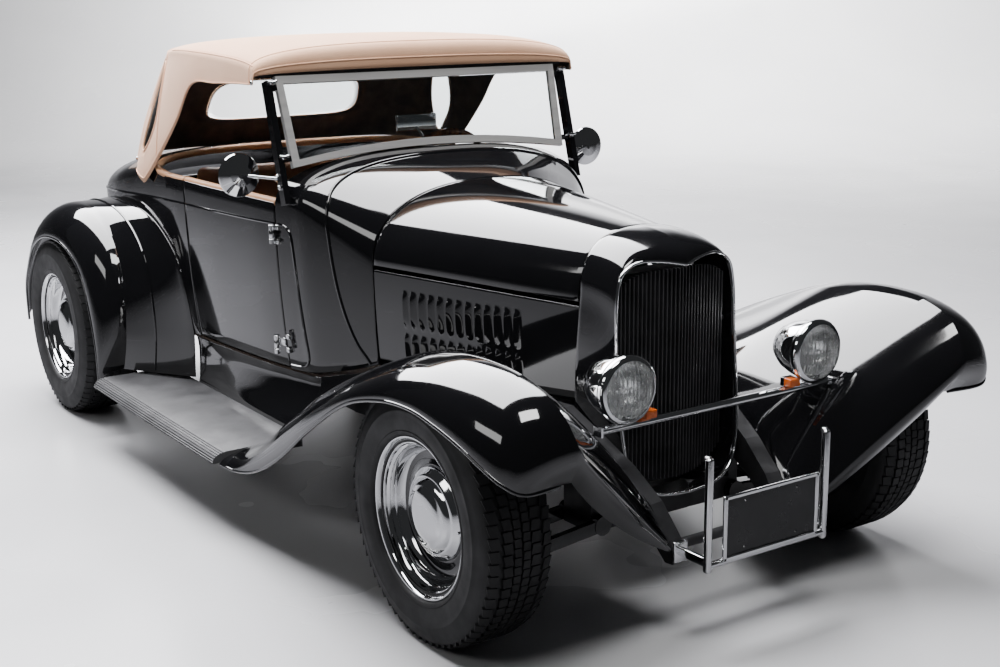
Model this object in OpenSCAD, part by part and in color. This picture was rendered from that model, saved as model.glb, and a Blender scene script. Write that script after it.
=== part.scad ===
// Open two-seat hot rod roadster with a folding fabric top, full fenders and running boards.
// Millimetres. +X points forward, +Y to the car's left, +Z up, and the tyres stand on z = 0.
// Shapes are laid out from the front axle (x = 0) and the rear axle (x = -wheelbase),
// then car() slides them so that the origin is under the middle of the car.

/* [Overall] */
// Distance between the front and rear axles
wheelbase = 2630; // [2500:10:3200]
// Widest half width of the body, at the cockpit
body_half = 618; // [540:2:760]
// Height of the fabric roof at its crown
roof_height = 1466; // [1400:5:1800]
// How far the front fenders reach ahead of the front axle
nose_reach = 510; // [480:5:620]
// How far the tail reaches behind the rear axle
tail_reach = 452; // [430:5:560]

/* [Wheels] */
// Front tyre radius
front_tyre_r = 333; // [300:1:340]
// Front tyre width
front_tyre_w = 205; // [165:5:250]
// Rear tyre radius
rear_tyre_r = 343; // [310:1:360]
// Rear tyre width
rear_tyre_w = 230; // [190:5:280]
// Radius of the rim where the tyre sits
rim_r = 190; // [165:1:205]
// Distance from the centre plane to the middle of a front tyre
front_track_half = 672; // [640:2:820]
// Gap between the body side and a rear tyre
rear_tyre_gap = 22; // [15:1:80]

/* [Fenders] */
// How far a front fender covers past the outer side of its tyre
front_cover = 70; // [40:5:120]
// How far a rear fender covers past the outer side of its tyre
rear_cover = 6; // [4:1:60]
// Thickness of a fender skin with its stiffening
fender_wall = 7; // [5:0.5:10]
// Outer edge of the running boards, from the centre plane
board_half = 880; // [820:5:1100]
// Height of the top of the running boards
board_height = 258; // [240:2:300]
// Thickness of a running board
board_thick = 34; // [24:1:44]

/* [Body] */
// Length of the hood between its two joints
hood_length = 740; // [640:5:900]
// Height of the bottom edge of the body
body_bottom = 435; // [420:5:455]
// Height of the top of a door
door_top = 985; // [940:5:1010]
// Thickness of a door with its trim
door_wall = 44; // [30:2:60]
// Thickness of the body side and deck with their ribs
body_wall = 26; // [16:2:34]
// Thickness of the hood skin
hood_wall = 8; // [5:1:12]
// Running gap round doors, hood and deck lid
panel_gap = 5; // [5:0.5:8]
// Radius of the hinge pins
hinge_pin_r = 4; // [3:0.5:5]
// Running clearance between a hinge pin and its knuckle
pin_clearance = 0.4; // [0.2:0.1:1]

/* [Windscreen and top] */
// Half width of the windscreen frame at its foot
screen_half = 514; // [440:2:620]
// Height of the windscreen frame, measured along its lean
screen_height = 285; // [230:5:350]
// Backward lean of the windscreen
screen_lean = 15.5; // [5:0.5:30]
// Width of the windscreen frame members
screen_frame_w = 24; // [16:1:34]
// Thickness of the glass
glass_thick = 6; // [4:0.5:8]
// Thickness of the fabric top
fabric = 8; // [5:0.5:12]

/* [Lamps and guards] */
// Diameter of a headlight rim
headlight_d = 176; // [150:2:210]
// Distance from the centre plane to a headlight
headlight_half = 324; // [290:2:380]
// Height of the middle of the headlights
headlight_height = 654; // [600:2:700]
// Radius of the headlight bar
lamp_bar_r = 11; // [8:1:16]
// Distance from the centre plane to a bumper guard
guard_half = 200; // [170:2:240]
// Width of the number plate
plate_w = 305; // [250:5:360]
// Height of the number plate
plate_h = 152; // [120:2:180]

/* [Steering] */
// Radius of the steering wheel
steering_wheel_r = 190; // [165:5:215]
// Distance from the centre plane to the steering column
column_half = 300; // [240:5:360]
// Tilt of the column above level
column_tilt = 30; // [20:1:50]

/* [Hidden] */
$fn = 48;

// Small distances
seat_gap = 0.3;    // between pieces of one body that rest on each other
run_gap = 5;       // between pieces that move past each other
weld = 2;          // how far welded members run into each other

// Places along the car, from the front axle
rx = -wheelbase;                       // rear axle
hood_front = -65;                      // joint between radiator shell and hood
hood_rear = hood_front - hood_length;  // joint between hood and cowl
door_front = hood_rear - 360;          // front edge of the door opening
door_rear = rx + 870;                  // rear edge of the door opening
centre_x = (nose_reach - wheelbase - tail_reach) / 2;

// Places across the car
front_fender_half = front_track_half + front_tyre_w / 2 + front_cover;
body_low_half = body_half - 36;        // body side at its bottom edge
rear_track_half = body_low_half + rear_tyre_gap + rear_tyre_w / 2;
rear_fender_half = rear_track_half + rear_tyre_w / 2 + rear_cover;
kingpin_half = front_track_half - 82;
rail_w = 46;
rail_top = body_bottom - 7;
rail_h = 110;
floor_top = body_bottom - seat_gap;    // the body stands on the floor pan
door_bottom = body_bottom + run_gap;

// The frame rails run straight from the horns, spreading, and are parallel behind rail_mid.
horn_half = 192;                       // middle of a frame rail at the horn
rail_front = 330;
rail_mid = hood_rear - 125;
rail_mid_half = 384;
rail_turn = atan((rail_mid_half - horn_half) / (rail_front - rail_mid));
rail_hood = 518;                       // top of the rails under the hood
board_front = hood_rear - 195;
board_rear = rx + 563;
board_inner = body_low_half - 2;

ink = [0.02, 0.02, 0.022];
chrome = [0.8, 0.8, 0.82];
rubber = [0.06, 0.06, 0.06];
tan_leather = [0.62, 0.33, 0.16];
canvas = [0.86, 0.68, 0.54];
dark_steel = [0.09, 0.09, 0.1];
pale_glass = [0.75, 0.85, 0.85, 0.4];

// Slides shapes laid out from the front axle onto the part's own origin.
module car() {
    translate([-centre_x, 0, 0])
        children();
}

module both_sides() {
    children();
    mirror([0, 1, 0])
        children();
}

// Smooth curve through points --------------------------------------------------------------

function blend(a, b, c, d, t) = 0.5 * (2 * b + (c - a) * t + (2 * a - 5 * b + 4 * c - d) * t * t
    + (3 * b - a - 3 * c + d) * t * t * t);

// The point, or row of numbers, at place u along a list.
function along(list, u) =
    let (last = len(list) - 1, i = min(floor(u), last - 1))
    blend(list[max(i - 1, 0)], list[i], list[i + 1], list[min(i + 2, last)], u - i);

function steps(first, last, count) = [for (k = [0:count]) first + (last - first) * k / count];

// A sheet of even thickness under a grid of points. Cells inside a gap [i0, i1, j0, j1]
// are left open. The outer side is where (next row) x (next column) points.

function wrap(j, n, closed) = closed ? (j + n) % n : min(max(j, 0), n - 1);

function facing(g, i, j, closed) =
    let (n = len(g[0]),
        a = g[min(i + 1, len(g) - 1)][j] - g[max(i - 1, 0)][j],
        b = g[i][wrap(j + 1, n, closed)] - g[i][wrap(j - 1, n, closed)],
        c = cross(a, b))
    c / norm(c);

function open_at(i, j, gaps) =
    len([for (h = gaps) if (i >= h[0] && i < h[1] && j >= h[2] && j < h[3]) 1]) > 0;

module sheet(g, wall, gaps = [], closed = false) {
    rows = len(g);
    cols = len(g[0]);
    cell_cols = closed ? cols : cols - 1;
    outer = [for (i = [0:rows - 1]) for (j = [0:cols - 1]) g[i][j]];
    inner = [for (i = [0:rows - 1]) for (j = [0:cols - 1]) g[i][j] - wall * facing(g, i, j, closed)];
    total = rows * cols;
    function at(i, j) = i * cols + j % cols;
    function kept(i, j) =
        let (jj = closed ? (j + cols) % cols : j)
        i >= 0 && i < rows - 1 && jj >= 0 && jj < cell_cols && !open_at(i, jj, gaps);
    function quad(p, q, r, s) = [[p, q, r], [p, r, s]];
    function edge(p, q) = quad(p, q, q + total, p + total);
    faces = [for (i = [0:rows - 2]) for (j = [0:cell_cols - 1]) if (kept(i, j))
        let (a = at(i, j), b = at(i + 1, j), c = at(i + 1, j + 1), d = at(i, j + 1))
        each concat(
            quad(a, d, c, b),
            quad(a + total, b + total, c + total, d + total),
            kept(i - 1, j) ? [] : edge(d, a),
            kept(i, j + 1) ? [] : edge(c, d),
            kept(i + 1, j) ? [] : edge(b, c),
            kept(i, j - 1) ? [] : edge(a, b))];
    polyhedron(points = concat(outer, inner), faces = faces, convexity = 6);
}

// Body surface ------------------------------------------------------------------------------
// A row of the body runs from the left bottom edge, up the side to the shoulder, over the
// crown and down the right side. Each station is
// [shoulder x, shoulder y, shoulder z, crown x, crown z, bottom y, bottom z, squareness].

function flip(p) = [p[0], -p[1], p[2]];

function side_point(s, t) =
    [s[0], s[1] - (s[1] - s[5]) * (1 - t) * (1 - t), s[6] + (s[2] - s[6]) * t];

function crown_point(s, turn) =
    let (rise = pow(sin(turn), 2 / s[7]), reach = pow(cos(turn), 2 / s[7]))
    [s[0] + (s[3] - s[0]) * rise, s[1] * reach, s[2] + (s[4] - s[2]) * rise];

SIDE_STEPS = [0, 0.25, 0.5, 0.75, 1];
CROWN_TURNS = [15, 30, 45, 60, 75];

function half_row(s) = concat(
    [for (t = SIDE_STEPS) side_point(s, t)],
    [for (turn = CROWN_TURNS) crown_point(s, turn)]);

function full_row(s) =
    let (half = half_row(s), n = len(half))
    concat(half, [[s[3], 0, s[4]]], [for (k = [n - 1:-1:0]) flip(half[k])]);

function arch_row(s, first) =
    [for (turn = steps(first, 180 - first, 12))
        turn <= 90 ? crown_point(s, turn) : flip(crown_point(s, 180 - turn))];

hood_low = rail_hood + seat_gap;
HOOD = [
    [hood_front, 205, 795, hood_front, 982, 198, hood_low, 2.3],
    [hood_front - 0.33 * hood_length, 275, 799, hood_front - 0.33 * hood_length, 1004, 266, hood_low, 2.3],
    [hood_front - 0.67 * hood_length, 345, 803, hood_front - 0.67 * hood_length, 1023, 335, hood_low, 2.3],
    [hood_rear, 412, 806, hood_rear, 1040, 400, hood_low, 2.3]];

COWL = [
    [hood_rear - panel_gap, 413, 806, hood_rear - panel_gap, 1040, 401, 500, 2.3],
    [hood_rear - 100, 463, 868, hood_rear - 92, 1070, 446, 470, 2.3],
    [hood_rear - 215, body_half - 97, 942, hood_rear - 205, 1100, body_half - 118, 446, 2.35],
    [hood_rear - 290, body_half - 76, 962, hood_rear - 265, 1110, body_half - 102, body_bottom + 2, 2.4],
    [door_front + panel_gap, body_half - 60, 968, hood_rear - 322, 1113, body_half - 90, body_bottom, 2.5]];

// The door and the body behind it share one run of side stations.
SIDE = [
    [door_front, body_half - 59, door_top - 15, 0, 0, body_half - 90, door_bottom, 2],
    [door_front - 135, body_half - 38, door_top - 9, 0, 0, body_half - 70, door_bottom, 2],
    [door_rear + 200, body_half - 14, door_top - 3, 0, 0, body_half - 47, door_bottom, 2],
    [door_rear, body_half - 5, door_top, 0, 0, body_half - 38, door_bottom, 2]];

REAR = [
    [door_rear - panel_gap, body_half - 5, door_top, rx + 577, 1040, body_low_half - 2, body_bottom, 3],
    [rx + 800, body_half - 1, door_top, rx + 512, 1040, body_low_half, body_bottom, 3],
    [rx + 730, body_half, door_top, rx + 440, 1040, body_low_half, body_bottom, 3],
    [rx + 570, body_half - 1, 974, rx + 360, 1039, body_low_half - 1, body_bottom, 2.7],
    [rx + 400, body_half - 6, 950, rx + 270, 1036, body_low_half - 3, body_bottom, 2.4],
    [rx + 250, body_half - 14, 925, rx + 190, 1032, body_low_half - 10, body_bottom, 2.4],
    [rx + 110, body_half - 30, 893, rx + 90, 1024, body_low_half - 28, body_bottom, 2.4],
    [rx - 90, body_half - 70, 848, rx - 120, 992, body_low_half - 66, body_bottom, 2.4],
    [rx - 225, body_half - 112, 795, rx - 268, 940, body_low_half - 108, body_bottom, 2.4],
    [rx - 320, body_half - 156, 730, rx - 375, 848, body_low_half - 150, body_bottom, 2.4],
    [rx - 385, body_half - 210, 645, rx - 428, 722, body_low_half - 200, body_bottom, 2.4],
    [rx - 412, body_half - 262, 545, rx - tail_reach + 2, 585, body_low_half - 240, body_bottom, 2.4],
    [rx - 415, body_half - 275, body_bottom + 8, rx - tail_reach, body_bottom + 4,
        body_low_half - 242, body_bottom, 2.4]];
RIM_ROW = 2;   // station whose crown line is the back of the cockpit
LID_FIRST = 5; // stations between which the deck lid lies
LID_LAST = 9;
LID_TURN = 45; // where the lid's sides lie on the crown

// The station of a list that lies at place x.
function station_at(list, x, low = 0, high = 99, turns = 16) =
    let (top = min(high, len(list) - 1), mid = (low + top) / 2, s = along(list, mid))
    turns == 0 ? s
    : s[0] > x ? station_at(list, x, mid, top, turns - 1)
    : station_at(list, x, low, mid, turns - 1);

// Distance of the rear body's side from the centre plane.
function flank(x, z) =
    let (s = station_at(REAR, x))
    side_point(s, max(0, (z - s[6]) / (s[2] - s[6])))[1];

// Distance of the body's bottom edge from the centre plane.
function foot_half(x) = station_at(x > door_front ? COWL : x > door_rear ? SIDE : REAR, x)[5];

module body_tub() {
    stops = concat([0, 1], steps(RIM_ROW, LID_FIRST, 6),
        [5.5, 6, 6.5, 7, 7.5, 8, 8.5, 9, 9.5, 10, 10.5, 11, 12]);
    rows = [for (u = stops) full_row(along(REAR, u))];
    n = len(rows[0]);
    s = len(SIDE_STEPS) - 1;
    lid_col = s + 3;
    first = search(LID_FIRST, stops)[0];
    last = search(LID_LAST, stops)[0];
    sheet(rows, body_wall, [[0, 2, s, n - 1 - s], [first, last, lid_col, n - 1 - lid_col]]);
}

module rear_body() {
    color(ink) car() {
        body_tub();
        cross_pins(lid_hinge, lid_hinge_half, 1);
    }
}

module deck_lid() {
    margin = 0.9;
    first = LID_FIRST + 0.07;
    last = LID_LAST - 0.07;
    rows = [for (u = steps(first, last, 9)) arch_row(along(REAR, u), LID_TURN + margin)];
    color(ink) car() {
        sheet(rows, 18);
        cross_knuckles(lid_hinge, lid_hinge_half, -1);
    }
}

module hood_top() {
    rows = [for (u = steps(0.045, 2.996, 8)) arch_row(along(HOOD, u), 0.5)];
    color(ink) car() {
        sheet(rows, hood_wall);
        cross_knuckles(hood_hinge, hood_hinge_half, 1);
    }
}

module hood_sides() {
    rows = [for (u = [0.02, 1, 2, 2.996])
        let (s = along(HOOD, u)) [for (t = [0, 0.35, 0.7, 0.965]) side_point(s, t)]];
    color(ink) car() both_sides() sheet(rows, hood_wall);
}

module cowl() {
    rows = [for (u = steps(0, 4, 8)) full_row(along(COWL, u))];
    color(ink) car() {
        sheet(rows, body_wall);
        both_sides() door_pins();
        cross_pins(hood_hinge, hood_hinge_half, -1);
    }
}

module door() {
    rows = [for (u = steps(0, 3, 6))
        let (s = along(SIDE, u)) [for (t = [0, 0.2, 0.4, 0.6, 0.8, 1]) side_point(s, t)]];
    sheet(rows, door_wall);
}

module left_door() {
    car() {
        door();
        door_knuckles();
    }
}

module door_left() {
    color(ink) left_door();
}

module door_right() {
    color(ink) mirror([0, 1, 0]) left_door();
}

// Hinges -------------------------------------------------------------------------------------
// Each hinge is a pin with a leaf on the body and a knuckle on the moving panel.

HINGE_HEIGHTS = [521, 873];
knuckle_r = hinge_pin_r + 5;
hinge_x = door_front + panel_gap / 2;
hinge_y = body_half - 59 + knuckle_r + 3;
cross_pin_r = 2.5;
cross_knuckle_r = 5;
lid_hinge = [along(REAR, LID_FIRST)[3] - 3, along(REAR, LID_FIRST)[4] + 5];
hood_hinge = [hood_rear - 2, 1040 + 5];
lid_hinge_half = 170;
hood_hinge_half = 70;

module tube(r_out, r_in, h) {
    difference() {
        cylinder(r = r_out, h = h);
        translate([0, 0, -1])
            cylinder(r = r_in, h = h + 2);
    }
}

// Depth of the body side under a door hinge.
function side_depth(z) = hinge_y - side_point(SIDE[0], (z - body_bottom) / (door_top - 15 - body_bottom))[1];

module door_knuckles() {
    for (z = HINGE_HEIGHTS) {
        deep = side_depth(z) + 4;
        translate([hinge_x, hinge_y, z - 12])
            tube(knuckle_r, hinge_pin_r + pin_clearance, 24);
        translate([hinge_x - 34, hinge_y - deep, z - 12])
            cube([34 - knuckle_r + weld, deep + 2, 24]);
    }
}

module door_pins() {
    for (z = HINGE_HEIGHTS) {
        deep = side_depth(z) + 3;
        translate([hinge_x, hinge_y, z - 30])
            cylinder(r = hinge_pin_r, h = 60);
        for (end = [-30, 14])
            translate([hinge_x, hinge_y, z + end]) {
                cylinder(r = knuckle_r, h = 16);
                translate([0, -deep, 0])
                    cube([24, deep + 3, 16]);
            }
    }
}

// Two short pins across the car, each held by a leaf at both ends.
module cross_pins(place, half, toward) {
    for (y = [-half, half])
        translate([place[0], y, place[1]]) {
            rotate([90, 0, 0])
                cylinder(r = cross_pin_r, h = 46, center = true);
            for (end = [-23, 15])
                translate([0, end, 0]) {
                    rotate([-90, 0, 0])
                        cylinder(r = cross_knuckle_r, h = 8);
                    translate([toward > 0 ? 0 : -16, 0, -12])
                        cube([16, 8, 12 + cross_knuckle_r - 1]);
                }
        }
}

module cross_knuckles(place, half, toward) {
    for (y = [-half, half])
        translate([place[0], y, place[1]]) {
            rotate([90, 0, 0])
                translate([0, 0, -14])
                    tube(cross_knuckle_r, cross_pin_r + pin_clearance, 28);
            translate([toward > 0 ? cross_knuckle_r - 2 : -16 - cross_knuckle_r + 2, -14, -9])
                cube([16, 28, 10]);
        }
}

// Fenders ------------------------------------------------------------------------------------
// A row runs from the outer lip up to the crown and down to the inner edge. Each station is
// [lip x, y, z, crown x, y, z, inner x, y, z, sag of the inner slope].

function quarter(k, e, sag, turn) =
    let (rise = 1 - cos(turn), run = sin(turn),
        over = (1 - sag) * run + sag * rise, down = (1 - sag) * rise + sag * run)
    [k[0] + (e[0] - k[0]) * down, k[1] + (e[1] - k[1]) * over, k[2] + (e[2] - k[2]) * down];

function fender_row(s) =
    let (lip = [s[0], s[1], s[2]], top = [s[3], s[4], s[5]], in = [s[6], s[7], s[8]])
    concat([for (turn = steps(90, 0, 5)) quarter(top, lip, 0, turn)],
        [for (turn = steps(15, 90, 5)) quarter(top, in, s[9], turn)]);

// Outer side of a front rail, where a fender is bolted on.
function rail_side(x) = horn_half + (rail_front - x) * tan(rail_turn) + rail_w / 2 / cos(rail_turn) + 0.8;

fh = front_fender_half;
FRONT_FENDER = [
    [455, fh - 185, 525, 462, fh - 215, 530, 338, rail_side(338), 224, 0.62],
    [478, fh - 78, 532, nose_reach, fh - 205, 600, 336, rail_side(336), 236, 0.55],
    [452, fh - 33, 556, nose_reach - 20, fh - 190, 672, 318, rail_side(318), 262, 0.5],
    [400, fh - 12, 588, 434, fh - 176, 728, 280, rail_side(280), 305, 0.45],
    [330, fh - 3, 618, 335, fh - 168, 762, 220, rail_side(220), 355, 0.42],
    [235, fh, 641, 225, fh - 165, 773, 150, rail_side(150), 405, 0.4],
    [118, fh, 655, 105, fh - 165, 768, 55, rail_side(55), 452, 0.4],
    [-24, fh, 643, -30, fh - 165, 744, -65, rail_side(-65), 486, 0.4],
    [-205, fh, 591, -220, fh - 165, 676, -230, rail_side(-230), 496, 0.4],
    [-409, fh, 474, -425, fh - 162, 588, -400, rail_side(-400), 500, 0.36],
    [-600, fh, 345, -605, fh - 158, 494, -600, rail_side(-600) + 2, 496, 0.3],
    [-760, fh, 262, -765, fh - 155, 385, -790, 412, 482, 0.28],
    [-900, fh, 222, -900, fh - 150, 296, -900, 454, 461, 0.15],
    [board_front + 0.6, fh + 10, 220, board_front + 0.6, fh - 170, 262, board_front + 0.6, 503, 438, 0.05]];

rh = rear_fender_half;
REAR_FENDER = [
    [rx + 496, rh - 2, 215, rx + 530, rh - 90, board_height + 11,
        rx + 800, body_low_half + 2, board_height + 12, 0.5],
    [rx + 492, rh - 2, 345, rx + 556, rh - 100, 400, rx + 812, body_low_half + 6, 440, 0.45],
    [rx + 450, rh - 2, 488, rx + 538, rh - 108, 582, rx + 796, body_half - 16, 600, 0.42],
    [rx + 368, rh - 2, 620, rx + 455, rh - 112, 728, rx + 735, body_half - 10, 718, 0.4],
    [rx + 205, rh, 694, rx + 290, rh - 116, 814, rx + 560, body_half - 7, 815, 0.36],
    [rx - 4, rh, 697, rx + 90, rh - 118, 834, rx + 290, body_half - 16, 850, 0.32],
    [rx - 174, rh - 2, 642, rx - 100, rh - 124, 798, rx + 20, body_half - 48, 838, 0.32],
    [rx - 282, rh - 6, 546, rx - 262, rh - 134, 700, rx - 180, body_half - 100, 775, 0.35],
    [rx - 372, rh - 14, 440, rx - 372, rh - 148, 570, rx - 320, body_half - 165, 650, 0.4],
    [rx - 432, rh - 30, 290, rx - 436, rh - 168, 380, rx - 410, body_half - 250, 450, 0.45]];

// A rear fender's inner edge lies against the body, with both faces of its skin clear of it.
function beside_body(g) =
    [for (i = [0:len(g) - 1])
        let (n = len(g[0]) - 1, p = g[i][n], q = p - fender_wall * facing(g, i, n, false),
            move = max(flank(p[0], p[2]) - p[1], flank(q[0], q[2]) - q[1]) + 8 * seat_gap)
        [for (j = [0:n]) j == n ? p + [0, move, 0] : g[i][j]]];

module front_fenders() {
    color(ink) car() both_sides()
        sheet([for (u = steps(0, 13, 26)) fender_row(along(FRONT_FENDER, u))], fender_wall);
}

module rear_fenders() {
    color(ink) car() both_sides()
        sheet(beside_body([for (u = steps(0, 9, 22)) fender_row(along(REAR_FENDER, u))]), fender_wall);
}

// Running boards and aprons ------------------------------------------------------------------

module running_boards() {
    color([0.12, 0.12, 0.13]) car() both_sides()
        translate([board_rear, board_inner, board_height - board_thick])
            cube([board_front - board_rear, board_half - board_inner, board_thick]);
}

// Sheet that slopes from the body's bottom edge down to the board.
module splash_aprons() {
    rows = [for (x = concat([board_front - 1.9], steps(board_front - 20, rx + 820, 8)))
        [[x, board_inner - seat_gap, board_height - board_thick],
        [x, board_inner - seat_gap, board_height + 4],
            [x, min(foot_half(x) - 3, board_inner - seat_gap), rail_top]]];
    color(ink) car() both_sides() sheet(rows, 6);
}

// Frame --------------------------------------------------------------------------------------

FRONT_RAIL = [[330, 190], [336, 212], [318, 250], [255, 330], [160, 402], [60, 456],
    [-60, rail_hood], [hood_rear + 65, rail_hood], [hood_rear + 5, 500], [rail_mid + 50, rail_top],
    [rail_mid - 30, rail_top - 1], [rail_mid - 30, rail_top - rail_h + 1], [rail_mid + 90, rail_top - rail_h],
    [rail_mid + 210, 352], [rail_mid + 370, 372], [-60, 370], [70, 350], [180, 300], [270, 230], [306, 190]];

REAR_RAIL = [[rail_mid, rail_top], [rx + 330, rail_top], [rx + 180, 545], [rx - 180, 545], [rx - 296, 520],
    [rx - 296, 440], [rx - 150, 458], [rx + 150, 458],
    [rx + 250, rail_top - rail_h], [rail_mid, rail_top - rail_h]];

module rail() {
    front_stretch = 1 / cos(rail_turn);
    translate([rail_front, horn_half, 0])
        rotate([0, 0, -rail_turn])
            translate([-rail_front * front_stretch, 0, 0])
                rotate([90, 0, 0])
                    linear_extrude(rail_w, center = true)
                        polygon([for (p = FRONT_RAIL) [p[0] * front_stretch, p[1]]]);
    translate([0, rail_mid_half, 0])
        rotate([90, 0, 0])
            linear_extrude(rail_w, center = true)
                polygon(REAR_RAIL);
}

cross_top = 261.7;                      // the radiator shell stands on the front crossmember
board_arms = [door_front - 60, rx + 760];
arm_profile = [[rail_mid_half - 18, rail_top - rail_h + weld],
    [rail_mid_half + 24, rail_top - rail_h + weld],
    [rail_mid_half + 24, rail_top - rail_h - 8],
    [rail_mid_half + 90, board_height - board_thick - seat_gap],
    [board_half - 40, board_height - board_thick - seat_gap],
    [board_half - 40, board_height - board_thick - 12], [rail_mid_half + 76, board_height - board_thick - 18],
    [rail_mid_half - 18, rail_top - rail_h - 30]];

module rod(from, to, r) {
    d = to - from;
    translate(from)
        rotate([0, acos(d[2] / norm(d)), atan2(d[1], d[0])])
            cylinder(r = r, h = norm(d));
}

module cross_tube(x, z, half, r) {
    translate([x, -half, z])
        rotate([-90, 0, 0])
            cylinder(r = r, h = 2 * half);
}

module frame() {
    color(dark_steel) car() {
        both_sides() rail();
        translate([-60, -245, 200])
            cube([120, 490, cross_top - 200]);
        both_sides() {
            translate([-60, 228, 200])
                cube([120, 34, 180]);
            for (x = board_arms)
                translate([x, 0, 0])
                    rotate([90, 0, 90])
                        linear_extrude(40)
                            polygon(arm_profile);
        }
        cross_tube(mount_tube[0], mount_tube[1], rail_mid_half, mount_tube[2]);
        cross_tube(rx + 420, rail_top - 22, rail_mid_half, 18);
        cross_tube(rx - 262, 482, rail_mid_half, 24);
        cross_tube(300, 225, horn_half, 14);
    }
}

// Front suspension ---------------------------------------------------------------------------

lower_joint_z = front_tyre_r - 120;
upper_joint_z = front_tyre_r + 120;

// Flat arm of even depth between two points seen from ahead.
module arm(from, to, width, depth) {
    length = norm(to - from);
    turn = atan2(to[1] - from[1], to[0] - from[0]);
    translate([0, from[0], from[1]])
        rotate([turn, 0, 0])
            translate([-width / 2, 0, -depth / 2])
                cube([width, length, depth]);
}

// The lower arm's two legs clasp the crossmember; the upper arm hangs on a bracket beside the rail.
module one_side_suspension() {
    inner = [238, 222];
    bridge = [480, lower_joint_z - 15];
    outer = [kingpin_half - 60, lower_joint_z - 20];
    leg_w = 24;
    upper_inner = [300, 422];
    for (side = [-1, 1])
        translate([side * (60 + seat_gap + leg_w / 2), 0, 0]) {
            arm(inner, bridge, leg_w - 4, 34);
            translate([-leg_w / 2, inner[0], inner[1]])
                rotate([0, 90, 0])
                    cylinder(r = 27, h = leg_w);
        }
    arm(bridge - [40, -4], bridge + [4, 0], 2 * (56 + leg_w), 28);
    arm(bridge - [10, -1], outer, 46, 31);
    arm(outer - [4, 0], [kingpin_half - 6, lower_joint_z - 22], 42, 24);
    translate([0, kingpin_half, lower_joint_z - 36])
        cylinder(r = 22, h = 30);
    arm(upper_inner, [kingpin_half - 6, upper_joint_z + 24], 40, 22);
    translate([0, kingpin_half, upper_joint_z + 6])
        cylinder(r = 20, h = 26);
    translate([-60, upper_inner[0], upper_inner[1]])
        rotate([0, 90, 0])
            cylinder(r = 20, h = 120);
    translate([20, rail_side(20) - 0.4, 404])
        cube([40, upper_inner[0] - rail_side(20), 34]);
}

module front_suspension() {
    color(dark_steel) car() both_sides() one_side_suspension();
}

// Rear axle ----------------------------------------------------------------------------------

module rear_axle() {
    tube_end = rear_track_half - 38;
    color(dark_steel) car() {
        cross_tube(rx, rear_tyre_r, tube_end, 36);
        translate([rx, 0, rear_tyre_r])
            rotate([0, 90, 0])
                cylinder(r = 128, h = 220, center = true);
        rod([rx + 80, 0, rear_tyre_r], [gearbox_rear - seat_gap, 0, rail_top - 36], 26);
        both_sides() {
            translate([rx, tube_end - 14, rear_tyre_r])
                rotate([-90, 0, 0])
                    cylinder(r = 132, h = 14);
            translate([rx, tube_end - 1, rear_tyre_r])
                rotate([-90, 0, 0])
                    cylinder(r = 30, h = rear_track_half + hub_face - seat_gap - tube_end + 1);
            translate([rx + 90, 300, rear_tyre_r - 20])
                rotate([0, -12, 0])
                    cylinder(r = 30, h = 130);
            translate([rx - 12, 284, rear_tyre_r - 30])
                cube([120, 32, 60]);
        }
    }
}

mount_tube = [-1050, rail_top - 58, 26];   // crossmember under the gearbox: x, z, radius
gearbox_rear = mount_tube[0] - 60;

module engine_block() {
    color([0.25, 0.25, 0.27]) car() {
        translate([-770, -150, 390])
            cube([560, 300, 450]);
        translate([-770, -90, 330])
            cube([480, 180, 62]);
        translate([mount_tube[0] + 30, -120, 330])
            cube([-768 - mount_tube[0] - 30, 240, 270]);
        translate([gearbox_rear, -70, mount_tube[1] + mount_tube[2] + seat_gap])
            cube([92, 140, 28]);
    }
}

pipe_y = 205;
pipe_z = 300;

module pipe(from, length, r) {
    translate([from, pipe_y, pipe_z])
        rotate([0, 90, 0])
            cylinder(r = r, h = length);
}

module exhaust() {
    color(dark_steel) car() both_sides() {
        translate([-720, 150 + seat_gap, 560])
            cube([400, 46, 44]);
        translate([-600, pipe_y, pipe_z])
            cylinder(r = 24, h = 280);
        pipe(-2120, 1520, 24);
        pipe(-1900, 420, 58);
        for (x = [-1860, -1560])
            translate([x, pipe_y - 4, pipe_z])
                cube([40, 8, rail_top - pipe_z]);
    }
}

// Radiator, shell and grille -----------------------------------------------------------------
// The shell's rows run from its back edge to the rim of its opening. Both outlines start at
// the bottom middle and go up the left side to the top middle.

SHELL_BACK = [[0, 262], [105, 266], [176, 300], [205, 400], [221, 532], [216, 670], [205, 795],
    [199, 868], [178, 924], [132, 962], [66, 980], [0, 985]];

SHELL_FRONT = [[152, 0, 290], [148, 96, 300], [135, 160, 336], [122, 192, 400], [106, 204, 530],
    [94, 206, 640], [88, 205, 740], [85, 201, 830], [84, 184, 888], [87, 134, 915], [104, 62, 912],
    [124, 0, 900]];

function ring(half) = concat(half, [for (k = [len(half) - 2:-1:1]) flip(half[k])]);

function shell_half(turn) =
    [for (k = [0:len(SHELL_BACK) - 1])
        let (b = SHELL_BACK[k], f = SHELL_FRONT[k], run = sin(turn), drop = 1 - cos(turn))
        [hood_front + (f[0] - hood_front) * run, b[0] + (f[1] - b[0]) * drop, b[1] + (f[2] - b[1]) * drop]];

module radiator_shell() {
    rows = [for (turn = steps(90, 0, 5)) ring(shell_half(turn))];
    color(ink) car() sheet(rows, 10, closed = true);
}

module radiator() {
    half = [[96, 278.9], [146, 322], [160, 420], [172, 530], [164, 830], [130, 872]];
    color(dark_steel) car()
        translate([hood_front + 5, 0, 0])
            rotate([90, 0, 90])
                linear_extrude(70)
                    polygon(concat(half, [for (k = [len(half) - 1:-1:0]) [-half[k][0], half[k][1]]]));
}

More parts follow.
